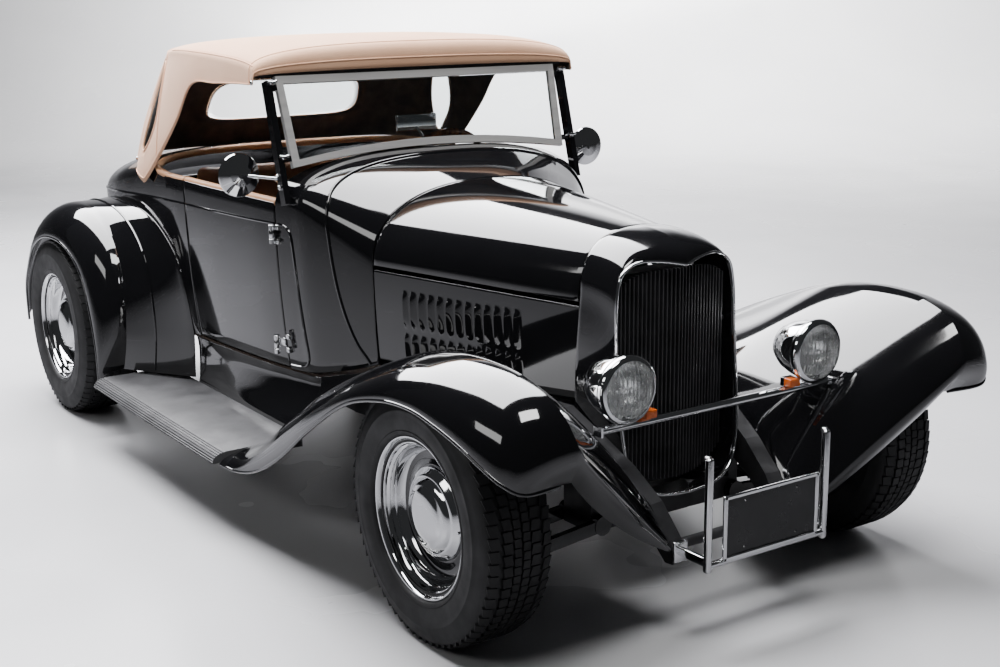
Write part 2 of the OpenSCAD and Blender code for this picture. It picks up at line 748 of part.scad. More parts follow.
// Height limits of a grille bar at a distance from the middle.
function bar_low(y) = 315 + 62 * pow(abs(y) / 180, 3);
function bar_high(y) = 890 - 40 * pow(abs(y) / 185, 4);
function bar_front(y) = 100 - 0.16 * abs(y);
CROSSBARS = [[400, 190.6], [720, 196.6]];   // height and half width; the ends rest on the shell

module grille() {
    pitch = 12.5;
    bar_w = 4;
    bar_d = 12;
    color(dark_steel) car() {
        for (k = [-14:14]) {
            y = k * pitch;
            translate([bar_front(y) - bar_d, y - bar_w / 2, bar_low(y)])
                cube([bar_d, bar_w, bar_high(y) - bar_low(y)]);
        }
        for (bar = CROSSBARS)
            translate([0, 0, bar[0]])
                linear_extrude(10)
                    polygon(concat([for (y = [-bar[1], 0, bar[1]]) [bar_front(y) - bar_d + weld, y]],
                        [for (y = [bar[1], 0, -bar[1]]) [bar_front(y) - bar_d - 8, y]]));
    }
}

// Firewall, floor and dashboard ---------------------------------------------------------------

tunnel_half = 150;
tunnel_top = 622;
tunnel_rear = hood_rear - 300;
wall_x = hood_rear - 85;                   // front face of the firewall
boot_half = 430;
boot_floor = 545 + seat_gap;

// A car-wide outline from its left half, bottom first, as [across, up].
function whole(half) = concat(half, [for (k = [len(half) - 1:-1:0]) [-half[k][0], half[k][1]]]);

function flat(row) = [for (p = row) [p[1], p[2]]];

module firewall() {
    color(ink) car() slab(wall_x - 4, 4)
        difference() {
            polygon(inset_row(flat(full_row(along(COWL, 0.6))), body_wall + 2));
            translate([-tunnel_half - seat_gap, 0])
                square([2 * tunnel_half + 2 * seat_gap, tunnel_top + 2 * seat_gap]);
        }
    color(ink) car() both_sides()
        translate([wall_x - 4, tunnel_half + seat_gap, floor_top + seat_gap])
            cube([4, 200, 80]);
}

module floor_pan() {
    front = wall_x + 4;
    low = rail_top + seat_gap;
    half = [for (x = concat([front], steps(hood_rear - 150, door_rear, 6), [rx + 800, rx + 336]))
        [x, foot_half(x) - 3]];
    color(dark_steel) car() {
        difference() {
            union() {
                translate([0, 0, low])
                    linear_extrude(floor_top - low)
                        polygon(concat(half, [for (k = [len(half) - 1:-1:0]) [half[k][0], -half[k][1]]]));
                translate([tunnel_rear, -tunnel_half, low])
                    cube([front - tunnel_rear, 2 * tunnel_half, tunnel_top - low]);
            }
            translate([tunnel_rear + 6, 6 - tunnel_half, low - 1])
                cube([front - tunnel_rear, 2 * tunnel_half - 12, tunnel_top - low - 5]);
        }
        rotate([90, 0, 0])
            linear_extrude(2 * boot_half, center = true)
                polygon([[rx + 338, low + weld], [rx + 184, boot_floor], [rx - 260, boot_floor],
                    [rx - 260, boot_floor + 8], [rx + 190, boot_floor + 8], [rx + 346, floor_top]]);
    }
}

module dashboard() {
    top = [for (p = inset_row(flat(full_row(along(COWL, 3.25))), body_wall + 2.2)) if (p[1] > 884) p];
    color(tan_leather) car()
        slab(door_front + 36, 16)
            polygon(concat(top, [[top[len(top) - 1][0], 880], [top[0][0], 880]]));
}

// Windscreen ---------------------------------------------------------------------------------
// Drawn flat from the middle of its foot, then leaned back.

screen_foot = [door_front + 40, 1116.6];
corner_drop = 40;                          // how far the foot's ends lie below its middle
screen_top_half = screen_half + 13;

// Outline of the screen, moved in by an even amount.
function screen_outline(inset) =
    let (foot_half = screen_half - inset, top_half = screen_top_half - inset,
        top = screen_height - corner_drop - inset)
    concat([[-top_half, top], [-foot_half, inset - corner_drop]],
        [for (k = [-4:4]) [k * foot_half / 5, inset - corner_drop * pow(abs(k) / 5, 2)]],
        [[foot_half, inset - corner_drop], [top_half, top]]);

module leaned(depth) {
    translate([screen_foot[0], 0, screen_foot[1]])
        rotate([0, -screen_lean, 0])
            rotate([90, 0, 90])
                linear_extrude(depth, center = true)
                    children();
}

module windscreen_frame() {
    color(chrome) car() leaned(18)
        difference() {
            polygon(screen_outline(0));
            polygon(screen_outline(screen_frame_w));
        }
}

module windscreen_glass() {
    color(pale_glass) car() leaned(glass_thick)
        polygon(screen_outline(screen_frame_w + seat_gap));
}

module windscreen_posts() {
    foot = screen_half + 40;
    color(ink) car() both_sides()
        translate([screen_foot[0], foot - 10, screen_foot[1]])
            rotate([0, -screen_lean, 0]) {
                translate([-16, 0, -150])
                    cube([32, 20, 136 + screen_height - corner_drop]);
                for (z = [-20, screen_height - corner_drop - 44]) {
                    edge = screen_half + 13 * (z + 18 + corner_drop) / screen_height + seat_gap;
                    translate([-9, edge - foot + 10, z])
                        cube([18, foot - 9 - edge, 18]);
                }
            }
}

mirror_d = 135;
mirror_centre = [door_front - 12, screen_half + 152, 1063];

module mirrors() {
    arm_root = [screen_foot[0] + 18, screen_half + 50 + 6 + seat_gap, 1051];
    color(chrome) car() both_sides() {
        translate(mirror_centre)
            rotate([0, 90, 0])
                rotate_extrude()
                    polygon([[0, 0], [mirror_d / 2 - 3, 0], [mirror_d / 2, 3], [mirror_d / 2 - 2, 8],
                        [mirror_d / 4, 22], [0, 26]]);
        rod(arm_root, mirror_centre + [12, -10, 0], 5);
        translate(arm_root - [9, 6, 9])
            cube([18, 10, 18]);
    }
}

// Fabric top ---------------------------------------------------------------------------------
// Stations as on the body: shoulder, crown and lower edge, from the windscreen to the deck.

rt = roof_height;
top_front = screen_foot[0] - (screen_height - corner_drop) * sin(screen_lean) - 8;

// [shoulder x, y, z, crown x, z, lower edge y, z, squareness, lower edge x]
TOP = [
    [top_front + 18, 600, rt - 112, top_front + 18, rt - 99, 604, rt - 130, 2.6, top_front + 16],
    [top_front + 10, 602, rt - 98, top_front + 10, rt - 26, 604, rt - 134, 2.6, top_front + 8],
    [top_front - 90, 604, rt - 82, top_front - 90, rt - 4, 606, rt - 136, 2.6, top_front - 90],
    [top_front - 260, 604, rt - 70, top_front - 260, rt, 608, rt - 142, 2.6, top_front - 260],
    [rx + 990, 602, rt - 62, rx + 960, rt - 1, body_half - 6, rt - 154, 2.6, rx + 990],
    [rx + 850, 594, rt - 60, rx + 800, rt - 8, body_half, rt - 276, 2.7, rx + 865],
    [rx + 730, 578, rt - 66, rx + 690, rt - 22, body_half + 8, rt - 392, 2.9, rx + 730],
    [rx + 640, 556, rt - 88, rx + 590, rt - 52, body_half + 16, rt - 506, 3.2, rx + 580],
    [rx + 575, 570, rt - 200, rx + 470, rt - 180, body_half + 18, rt - 512, 3.8, rx + 535],
    [rx + 500, 588, rt - 330, rx + 375, rt - 318, body_half + 10, rt - 490, 4, rx + 470],
    [rx + 425, body_half - 24, rt - 440, rx + 298, rt - 404, body_half - 16, rt - 456, 3.6, rx + 420]];

function top_side(s, t) = [
    s[8] + (s[0] - s[8]) * t,
    s[5] + (s[1] - s[5]) * pow(t, 1.6),
    s[6] + (s[2] - s[6]) * t];

TOP_TURNS = [14, 28, 42, 56, 72.3];

function top_half_row(s) = concat(
    [for (t = [0, 0.33, 0.67, 1]) top_side(s, t)],
    [for (turn = TOP_TURNS) crown_point(s, turn)]);

function top_row(s) =
    let (half = top_half_row(s), n = len(half))
    concat(half, [[s[3], 0, s[4]]], [for (k = [n - 1:-1:0]) flip(half[k])]);

TOP_STOPS = [0, 0.5, 1, 1.3, 2, 2.5, 3, 3.5, 4, 4.5, 5, 5.5, 6, 6.5, 7, 7.5, 7.95, 8.5, 9.1, 9.5, 10];
WINDOW_ROWS = [16, 18];  // rows that the rear windows span
REAR_WINDOW = [8, 10];   // columns of the middle window
SIDE_WINDOW = [1, 3];    // columns of a corner window

top_columns = len(top_half_row(TOP[0])) * 2;
TOP_GAPS = [
    [WINDOW_ROWS[0], WINDOW_ROWS[1], REAR_WINDOW[0], REAR_WINDOW[1]],
    [WINDOW_ROWS[0] - 2, WINDOW_ROWS[1] - 1, SIDE_WINDOW[0], SIDE_WINDOW[1]],
    [WINDOW_ROWS[0] - 2, WINDOW_ROWS[1] - 1, top_columns - SIDE_WINDOW[1], top_columns - SIDE_WINDOW[0]]];

module soft_top() {
    color(canvas) car()
        sheet([for (u = TOP_STOPS) top_row(along(TOP, u))], fabric, TOP_GAPS);
}

// Clear panes fill the gaps in the fabric.
module top_windows() {
    rows = [for (u = TOP_STOPS) top_row(along(TOP, u))];
    color(pale_glass) car()
        for (h = TOP_GAPS) {
            pane = [for (i = [h[0]:h[1]]) [for (j = [h[2]:h[3]]) rows[i][j]
                - (fabric + seat_gap) * facing(rows, i, j, false)]];
            sheet(pane, 2);
        }
}

// The header stands on the windscreen frame and two bows carry the roof.
module top_bows() {
    color(dark_steel) car() {
        header_arch = inset_row(flat_arch(along(TOP, 1.03), 24), fabric - 0.2);
        slab(top_front - 22, 23)
            polygon(concat(header_arch, [[-570, header_low], [570, header_low]]));
        for (u = [2.7, 3.9]) {
            arch = flat_arch(along(TOP, u), 20);
            slab(along(TOP, u)[3] - 6, 12)
                polygon(concat(inset_row(arch, fabric + 2.2),
                    [for (k = [len(arch) - 1:-1:0]) inset_row(arch, fabric + 15)[k]]));
        }
    }
}

header_low = screen_foot[1] + (screen_height - corner_drop) * cos(screen_lean) - 1.3;

module slab(x, depth) {
    translate([x, 0, 0])
        rotate([90, 0, 90])
            linear_extrude(depth)
                children();
}

// The arch of a station as seen from ahead, as [across, up].
function flat_arch(s, first) = flat(arch_row(s, first));

// An outline that runs over the top from left to right, moved in by an even amount.
function inset_row(row, d) = [for (k = [0:len(row) - 1])
    let (run = row[min(k + 1, len(row) - 1)] - row[max(k - 1, 0)])
    row[k] + d * [-run[1], run[0]] / norm(run)];

// Seat, steering wheel and column ------------------------------------------------------------

seat_half = body_half - 113;

module padded(half, profile) {
    rotate([90, 0, 0])
        linear_extrude(2 * half, center = true)
            offset(r = 20) offset(delta = -20)
                polygon(profile);
}

module seat() {
    color(tan_leather) car() {
        padded(seat_half, [[rx + 1010, floor_top + 0.3], [rx + 1010, 690], [rx + 960, 706], [rx + 650, 660],
            [rx + 650, floor_top + 0.3]]);
        padded(seat_half - 40, [[rx + 649.6, floor_top + 0.3], [rx + 649.6, 700], [rx + 600, 1022],
            [rx + 532, 1022], [rx + 540, floor_top + 0.3]]);
    }
}

wheel_centre = [rx + 1035, 949];

module on_column() {
    translate([wheel_centre[0], column_half, wheel_centre[1]])
        rotate([0, column_tilt - 90, 0])
            children();
}

module steering_wheel() {
    color([0.35, 0.16, 0.07]) car() on_column() {
        rotate_extrude()
            translate([steering_wheel_r, 0])
                circle(r = 12);
        translate([0, 0, -34])
            cylinder(r = 30, h = 34);
        for (turn = [90, 210, 330])
            rotate([0, 0, turn])
                translate([20, -9, -14])
                    cube([steering_wheel_r - 24, 18, 6]);
    }
}

module steering_column() {
    foot_x = wall_x - 4 - seat_gap;
    length = (foot_x - wheel_centre[0]) / cos(column_tilt) - 34 - 14;
    foot_z = wheel_centre[1] - (foot_x - wheel_centre[0]) * tan(column_tilt);
    color(dark_steel) car() {
        on_column()
            translate([0, 0, -34 - seat_gap - length])
                cylinder(r = 20, h = length);
        translate([foot_x - 14, column_half, foot_z])
            rotate([0, 90, 0])
                cylinder(r = 46, h = 14);
        translate([door_front + 46, column_half - 14, 700])
            cube([12, 28, 880 - 700 - seat_gap]);
    }
}

// Lamps and guards ---------------------------------------------------------------------------

lamp_bar = [262, 556];
bar_half = 397.2;

module headlight_bar() {
    color(chrome) car() {
        cross_tube(lamp_bar[0], lamp_bar[1], bar_half, lamp_bar_r);
        both_sides()
            translate([lamp_bar[0] - 16, bar_half - 3, lamp_bar[1] - 12])
                cube([32, 6, 24]);
    }
}

module headlights() {
    r = headlight_d / 2;
    post = headlight_height - r + 6 - (lamp_bar[1] + lamp_bar_r);
    color(chrome) car() both_sides()
        translate([295, headlight_half, headlight_height]) {
            rotate([0, -90, 0])
                rotate_extrude()
                    polygon([[0, -12], [r - 34, -8], [r - 12, 0], [r - 4, 4], [r, 12], [r - 2, 24],
                        [r - 8, 34], [r - 12, 60], [r - 26, 104], [r - 50, 136], [0, 152]]);
            translate([lamp_bar[0] - 295, 0, -r - post + 6])
                cylinder(r = 9, h = post + 16);
        }
}

module signal_lamps() {
    color([1, 0.5, 0.1]) car() both_sides()
        translate([lamp_bar[0] - 6, headlight_half - 94, lamp_bar[1] + lamp_bar_r + seat_gap])
            cube([30, 36, 17]);
}

guard_x = 446;

module bumper_guards() {
    color(chrome) car() {
        both_sides() {
            translate([guard_x - 10, guard_half - 8, 201])
                cube([20, 16, 300]);
            translate([345, guard_half - 5, 216])
                cube([guard_x - 345, 10, 26]);
            translate([340, guard_half - 26, 200])
                cube([8, 40, 56]);
        }
        cross_tube(guard_x, 222, guard_half, 8);
    }
}

plate_z = 312;

module number_plate() {
    color([0.03, 0.03, 0.03]) car() difference() {
        union() {
            translate([guard_x + 8, -plate_w / 2, plate_z - plate_h / 2])
                cube([4, plate_w, plate_h]);
            translate([guard_x - 8, -12, 230.3])
                cube([16.5, 24, 40]);
        }
        for (y = [-88.9, 88.9])
            for (z = [-60.3, 60.3])
                translate([guard_x, y, plate_z + z])
                    rotate([0, 90, 0])
                        cylinder(r = 3.2, h = 20);
    }
}

module tail_lamps() {
    color([0.6, 0.02, 0.02]) car() both_sides()
        translate([rx - 397.2, rear_fender_half - 175, 520])
            rotate([0, -71, 0])
                rotate_extrude()
                    polygon([[0, -4], [40, -4], [44, 6], [42, 22], [30, 30], [0, 33]]);
}

// Wheels and knuckles ------------------------------------------------------------------------

hub_face = 26;   // inner face of a hub, outward of the middle of its tyre

// Turns a profile of [radius, outward] about the wheel's axle, outer face towards +Y.
module about_axle(x, half, z) {
    translate([x, half, z])
        rotate([-90, 0, 0])
            rotate_extrude($fn = 96)
                children();
}

module tyre(x, half, r, w) {
    wall = w / 2;
    color(rubber) car() about_axle(x, half, r)
        polygon([[rim_r + seat_gap, 24.3 - wall], [rim_r + 19, 24.3 - wall],
            [rim_r + 22, 11 - wall], [r - 72, -wall], [r - 34, -wall + 6],
            [r - 10, -wall + 24], [r, -wall + 44], [r, wall - 44], [r - 10, wall - 24],
            [r - 34, wall - 6], [r - 72, wall], [rim_r + 22, wall - 11], [rim_r + 19, wall - 24.3],
            [rim_r + seat_gap, wall - 24.3]]);
}

module rim(x, half, r, w) {
    lip = w / 2 - 14;
    color(chrome) car() about_axle(x, half, r)
        polygon([[0, hub_face], [0, lip - 14], [60, lip - 20],
            [104, lip - 38], [118, lip - 52], [124, lip - 50],
            [134, lip - 66], [166, lip - 60], [176, lip - 40], [rim_r + 8, lip - 4], [rim_r + 18, lip],
            [rim_r + 17, lip - 8], [rim_r, lip - 10], [rim_r, -lip], [rim_r + 12, -lip - 2],
            [rim_r - 6, -lip - 2], [rim_r - 6, -20], [166, 6],
            [166, lip - 74], [120, lip - 76], [90, hub_face]]);
}

module knuckle() {
    color(dark_steel) car() {
        translate([0, kingpin_half, lower_joint_z])
            translate([-17, -14, -5.7])
                cube([34, 28, upper_joint_z - lower_joint_z + 11.4]);
        translate([0, kingpin_half, front_tyre_r])
            rotate([-90, 0, 0])
                cylinder(r = 26, h = front_track_half - kingpin_half + hub_face - seat_gap);
        translate([0, kingpin_half + 34, front_tyre_r])
            rotate([-90, 0, 0])
                cylinder(r = 128, h = 14);
        translate([-tie_reach - 16, kingpin_half - 13, tie_rod_z + 12])
            cube([tie_reach + 16, 26, 16]);
    }
}

tie_reach = 122;
tie_rod_z = front_tyre_r - 50;

module knuckle_left() {
    knuckle();
}

module knuckle_right() {
    mirror([0, 1, 0]) knuckle();
}

module tie_rod() {
    color(dark_steel) car() {
        cross_tube(-tie_reach, tie_rod_z, kingpin_half, 9);
        both_sides()
            translate([-tie_reach, kingpin_half, tie_rod_z - 12])
                cylinder(r = 13, h = 23.7);
    }
}

frame();
front_suspension();
rear_axle();
engine_block();
exhaust();
radiator();
radiator_shell();
grille();
hood_sides();
cowl();
firewall();
rear_body();
floor_pan();
front_fenders();
rear_fenders();
running_boards();
splash_aprons();
windscreen_frame();
windscreen_glass();
windscreen_posts();
mirrors();
soft_top();
top_windows();
top_bows();
dashboard();
steering_column();
seat();
headlight_bar();
headlights();
signal_lamps();
bumper_guards();
number_plate();
tail_lamps();
hood_top();
door_left();
door_right();
deck_lid();
steering_wheel();
knuckle_left();
knuckle_right();
tie_rod();
tyre(0, front_track_half, front_tyre_r, front_tyre_w);  // tyre_front_left
mirror([0, 1, 0]) tyre(0, front_track_half, front_tyre_r, front_tyre_w);  // tyre_front_right
tyre(rx, rear_track_half, rear_tyre_r, rear_tyre_w);  // tyre_rear_left
mirror([0, 1, 0]) tyre(rx, rear_track_half, rear_tyre_r, rear_tyre_w);  // tyre_rear_right
rim(0, front_track_half, front_tyre_r, front_tyre_w);  // rim_front_left
mirror([0, 1, 0]) rim(0, front_track_half, front_tyre_r, front_tyre_w);  // rim_front_right
rim(rx, rear_track_half, rear_tyre_r, rear_tyre_w);  // rim_rear_left
mirror([0, 1, 0]) rim(rx, rear_track_half, rear_tyre_r, rear_tyre_w);  // rim_rear_right
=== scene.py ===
"""Open two-seat hot rod roadster: the paint, bright metal, fabric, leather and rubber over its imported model."""
import math

import bmesh
import bpy
import numpy as np
from mathutils import Matrix, Vector


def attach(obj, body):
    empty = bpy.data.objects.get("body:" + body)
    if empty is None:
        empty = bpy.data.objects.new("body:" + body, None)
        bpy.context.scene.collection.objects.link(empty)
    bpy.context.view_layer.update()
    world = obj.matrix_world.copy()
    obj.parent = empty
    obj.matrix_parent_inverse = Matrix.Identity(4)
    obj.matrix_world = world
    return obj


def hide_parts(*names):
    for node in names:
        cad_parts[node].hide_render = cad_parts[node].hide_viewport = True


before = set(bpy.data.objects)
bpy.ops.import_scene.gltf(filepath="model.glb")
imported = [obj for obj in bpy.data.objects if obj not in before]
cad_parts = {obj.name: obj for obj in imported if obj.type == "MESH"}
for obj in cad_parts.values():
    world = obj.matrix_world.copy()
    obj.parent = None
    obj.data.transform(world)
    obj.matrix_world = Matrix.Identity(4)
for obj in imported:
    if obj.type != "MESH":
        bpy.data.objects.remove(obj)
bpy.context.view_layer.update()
scene = bpy.context.scene

# Tables are in millimetres from the front axle; the model's origin is 1286 mm behind it.
AXLE_AHEAD = 1286
REAR_X = -2630
ROOF = 1466
BODY = 618
LOW = 582


def metres(point):
    return Vector(((point[0] + AXLE_AHEAD) / 1000, point[1] / 1000, point[2] / 1000))


# Camera, floor and light ---------------------------------------------------------------------


def aim_camera():
    yaw, pitch, roll = (math.radians(a) for a in (145.918, -13.36, -0.643))
    ahead = Vector((math.cos(pitch) * math.cos(yaw), math.cos(pitch) * math.sin(yaw), math.sin(pitch)))
    right = ahead.cross(Vector((0, 0, 1))).normalized()
    up = right.cross(ahead)
    across = right * math.cos(roll) + up * math.sin(roll)
    upward = up * math.cos(roll) - right * math.sin(roll)
    data = bpy.data.cameras.new("camera")
    data.lens, data.sensor_width = 51.7, 36
    camera = bpy.data.objects.new("camera", data)
    scene.collection.objects.link(camera)
    turn = Matrix((across, upward, -ahead)).transposed().to_4x4()
    camera.matrix_world = Matrix.Translation((4.1804, -2.4633, 1.5972)) @ turn
    scene.camera = camera


def soft_box(name, place, target, size, power, colour=(1, 1, 1)):
    data = bpy.data.lights.new(name, "AREA")
    data.shape, data.size, data.size_y = "RECTANGLE", size[0], size[1]
    data.energy, data.color = power, colour
    light = bpy.data.objects.new(name, data)
    light.location = place
    light.rotation_mode = "QUATERNION"
    light.rotation_quaternion = (Vector(target) - Vector(place)).to_track_quat("-Z", "Y")
    scene.collection.objects.link(light)


aim_camera()
soft_box("roof_box", (-2.4, -0.2, 4.2), (-1.2, -0.2, 0), (4.2, 6.5), 1500, (0.97, 0.97, 1))
soft_box("front_box", (3.4, -1.0, 6.2), (0.2, 0, 0.6), (2.4, 1.8), 240)
soft_box("near_box", (0.5, -6.5, 4.2), (-0.2, 0, 0.5), (4.5, 1.2), 70)
soft_box("wall_wash", (-7.0, 6.0, 5.6), (-9.5, 9.5, 1.0), (8, 2), 2600)
world = bpy.data.worlds.new("studio")
world.use_nodes = True
world.node_tree.nodes["Background"].inputs["Color"].default_value = (0.82, 0.85, 0.9, 1)
world.node_tree.nodes["Background"].inputs["Strength"].default_value = 0.03
scene.world = world


# Finishes ------------------------------------------------------------------------------------


class Finish:
    """A procedural finish on object coordinates, built up from a principled shader."""

    def __init__(self, name, colour, roughness=0.5, metallic=0.0, coat=0.0, **sockets):
        self.material = bpy.data.materials.new(name)
        self.material.use_nodes = True
        self.tree = self.material.node_tree
        self.shader = self.tree.nodes["Principled BSDF"]
        self.set("Base Color", (*colour, 1))
        self.set("Roughness", roughness)
        self.set("Metallic", metallic)
        self.set("Coat Weight", coat)
        self.set("Coat Roughness", 0.03)
        for socket, value in sockets.items():
            self.set(socket.replace("_", " "), value)
        place = self.tree.nodes.new("ShaderNodeTexCoord")
        self.place = place.outputs["Object"]
        self.flat = place.outputs["UV"]
        self.height = None

    def set(self, socket, value):
        self.shader.inputs[socket].default_value = value

    def pattern(self, kind, scale, stretch=(1, 1, 1), turn=0.0, on_cloth=False, **settings):
        mapping = self.tree.nodes.new("ShaderNodeMapping")
        mapping.inputs["Scale"].default_value = stretch
        mapping.inputs["Rotation"].default_value = (0, 0, turn)
        self.tree.links.new(self.flat if on_cloth else self.place, mapping.inputs["Vector"])
        texture = self.tree.nodes.new("ShaderNodeTex" + kind)
        self.tree.links.new(mapping.outputs["Vector"], texture.inputs["Vector"])
        texture.inputs["Scale"].default_value = scale
        for setting, value in settings.items():
            if hasattr(texture, setting):
                setattr(texture, setting, value)
            else:
                texture.inputs[setting.replace("_", " ").title()].default_value = value
        return texture.outputs["Distance" if kind == "Voronoi" else "Fac"]

    def ramp(self, value, stops, target):
        ramp = self.tree.nodes.new("ShaderNodeValToRGB")
        ramp.color_ramp.elements[0].position, ramp.color_ramp.elements[1].position = stops[0][0], stops[-1][0]
        for position, _ in stops[1:-1]:
            ramp.color_ramp.elements.new(position)
        for element, (_, colour) in zip(ramp.color_ramp.elements, stops):
            element.color = (*colour, 1) if hasattr(colour, "__len__") else (colour, colour, colour, 1)
        self.tree.links.new(value, ramp.inputs["Fac"])
        self.tree.links.new(ramp.outputs["Color"], self.shader.inputs[target])
        return self

    def relief(self, value, depth, strength=1.0):
        bump = self.tree.nodes.new("ShaderNodeBump")
        bump.inputs["Distance"].default_value = depth
        bump.inputs["Strength"].default_value = strength
        self.tree.links.new(value, bump.inputs["Height"])
        if self.height:
            self.tree.links.new(self.height, bump.inputs["Normal"])
        self.height = bump.outputs["Normal"]
        self.tree.links.new(self.height, self.shader.inputs["Normal"])
        return self


def speckled(name, dark, light, rough, scale, depth, **more):
    """A finish with cloudy colour, a cloudy gloss and a fine grain."""
    made = Finish(name, light, **more)
    made.ramp(made.pattern("Noise", scale, detail=5.0), [(0.32, dark), (0.68, light)], "Base Color")
    made.ramp(made.pattern("Noise", scale * 1.7, detail=3.0), [(0.3, rough[0]), (0.7, rough[1])], "Roughness")
    made.relief(made.pattern("Noise", scale * 30, detail=3.0), depth)
    return made


gloss_black = speckled("gloss_black_paint", (0.0035, 0.0035, 0.0042), (0.0052, 0.0052, 0.006), (0.05, 0.09), 3.0,
    0.00002, coat=1.0)
chrome = speckled("polished_chrome", (0.86, 0.87, 0.88), (0.93, 0.93, 0.94), (0.03, 0.07), 9.0, 0.00001, metallic=1.0)
frame_silver = Finish("brushed_screen_metal", (0.6, 0.59, 0.57), 0.36, metallic=0.5)
frame_silver.ramp(frame_silver.pattern("Noise", 40, stretch=(1, 0.06, 1), detail=4.0),
    [(0.3, (0.52, 0.51, 0.50)), (0.7, (0.68, 0.67, 0.65))], "Base Color")
frame_silver.relief(frame_silver.pattern("Noise", 500, stretch=(1, 0.05, 1), detail=2.0), 0.00004)
satin_steel = speckled("satin_black_steel", (0.012, 0.012, 0.013), (0.03, 0.03, 0.032), (0.28, 0.5), 14.0, 0.00012)
cast_iron = speckled("rough_cast_iron", (0.11, 0.11, 0.12), (0.2, 0.2, 0.21), (0.55, 0.8), 22.0, 0.0005)
tyre_rubber = speckled("tyre_rubber", (0.011, 0.011, 0.0115), (0.02, 0.02, 0.021), (0.5, 0.68), 12.0, 0.00018)
board_mat = speckled("ribbed_mat_rubber", (0.034, 0.034, 0.036), (0.075, 0.075, 0.078), (0.42, 0.62), 7.0, 0.0003)
plate_black = speckled("plate_enamel", (0.012, 0.012, 0.013), (0.02, 0.02, 0.021), (0.25, 0.36), 10.0, 0.00004)
top_lining = speckled("top_lining", (0.05, 0.036, 0.028), (0.095, 0.07, 0.055), (0.8, 0.95), 18.0, 0.0003)
brown_leather = speckled("seat_leather", (0.20, 0.078, 0.03), (0.30, 0.125, 0.05), (0.38, 0.5), 6.0, 0.0002)
brown_leather.relief(brown_leather.pattern("Voronoi", 420), 0.00025, 0.5)
trim_leather = speckled("trim_leather", (0.52, 0.26, 0.13), (0.66, 0.36, 0.19), (0.4, 0.52), 8.0, 0.0002)
trim_leather.relief(trim_leather.pattern("Voronoi", 420), 0.00025, 0.5)
carpet = speckled("floor_carpet", (0.03, 0.018, 0.012), (0.07, 0.045, 0.03), (0.9, 1.0), 60.0, 0.002)
wheel_wood = Finish("varnished_wheel_rim", (0.2, 0.07, 0.025), 0.25, coat=0.8)
wheel_wood.ramp(wheel_wood.pattern("Noise", 16, stretch=(1, 6, 1), detail=6.0),
    [(0.35, (0.10, 0.032, 0.012)), (0.65, (0.26, 0.095, 0.035))], "Base Color")
wheel_wood.relief(wheel_wood.pattern("Noise", 220, stretch=(1, 6, 1)), 0.00008)
amber_lens = Finish("amber_lens", (0.85, 0.16, 0.012), 0.18, coat=0.6, Transmission_Weight=0.25)
amber_lens.relief(amber_lens.pattern("Wave", 90, wave_profile="SIN", bands_direction="Z"), 0.0006)
amber_lens.ramp(amber_lens.pattern("Noise", 60), [(0.3, (0.7, 0.1, 0.006)), (0.7, (0.95, 0.2, 0.02))], "Base Color")
red_lens = Finish("red_lens", (0.3, 0.004, 0.004), 0.12, coat=0.8, Transmission_Weight=0.2)
red_lens.relief(red_lens.pattern("Voronoi", 160), 0.0008, 0.6)
red_lens.ramp(red_lens.pattern("Noise", 40), [(0.3, (0.2, 0.002, 0.002)), (0.7, (0.4, 0.006, 0.006))], "Base Color")
screen_glass = Finish("screen_glass", (0.86, 0.9, 0.9), 0.0, Transmission_Weight=1.0, IOR=1.45)
screen_glass.relief(screen_glass.pattern("Noise", 3), 0.00002, 0.2)
clear_vinyl = Finish("clear_vinyl", (0.9, 0.92, 0.92), 0.05, Transmission_Weight=1.0, IOR=1.2)
clear_vinyl.relief(clear_vinyl.pattern("Noise", 7), 0.0012, 0.5)
lamp_silver = speckled("lamp_reflector", (0.9, 0.9, 0.9), (0.97, 0.97, 0.97), (0.18, 0.3), 30.0, 0.0001, metallic=0.75)
lamp_glass = Finish("fluted_lamp_glass", (0.97, 0.98, 0.98), 0.08, Transmission_Weight=1.0, IOR=1.4)
lamp_glass.relief(lamp_glass.pattern("Wave", 26, wave_profile="SIN", bands_direction="Y"), 0.0016, 0.8)
lamp_glass.relief(lamp_glass.pattern("Wave", 9, wave_profile="SIN", bands_direction="Z"), 0.0008, 0.5)
floor_paint = speckled("studio_floor", (0.60, 0.60, 0.615), (0.66, 0.66, 0.672), (0.20, 0.3), 0.8, 0.0)


def paint_shade_when_mirrored(finish, colour):
    """Paints shade into the floor: rays that mirror it or bounce light off it see a darker grey, while camera rays and
    rays through glass see its own pale colour.
    """
    tree = finish.material.node_tree
    base = next(n for n in tree.nodes if n.type == "BSDF_PRINCIPLED").inputs["Base Color"]
    source = base.links[0].from_socket
    sight, seen = tree.nodes.new("ShaderNodeLightPath"), tree.nodes.new("ShaderNodeMath")
    seen.operation, seen.use_clamp = "ADD", True
    tree.links.new(sight.outputs["Is Camera Ray"], seen.inputs[0])
    tree.links.new(sight.outputs["Is Transmission Ray"], seen.inputs[1])
    mix = tree.nodes.new("ShaderNodeMixRGB")
    mix.inputs["Color1"].default_value = (*colour, 1)
    tree.links.new(seen.outputs[0], mix.inputs["Fac"])
    tree.links.new(source, mix.inputs["Color2"])
    tree.links.new(mix.outputs[0], base)


# Painted shade: this dark grey is the floor as mirrored in the paint, darkened to stand for the shadowed floor beside
# the car.
paint_shade_when_mirrored(floor_paint, (0.22, 0.22, 0.23))

canvas = Finish("top_canvas", (0.87, 0.51, 0.31), 0.85, Sheen_Weight=0.25, Sheen_Roughness=0.5)
canvas.ramp(canvas.pattern("Noise", 5.0, detail=6.0),
    [(0.3, (0.83, 0.47, 0.285)), (0.7, (0.90, 0.54, 0.34))], "Base Color")
for angle in (0.0, math.pi / 2):
    canvas.relief(canvas.pattern("Wave", 260, turn=angle, on_cloth=True, wave_profile="SIN"), 0.0003, 0.35)
canvas.relief(canvas.pattern("Noise", 9.0, detail=3.0), 0.004, 0.25)


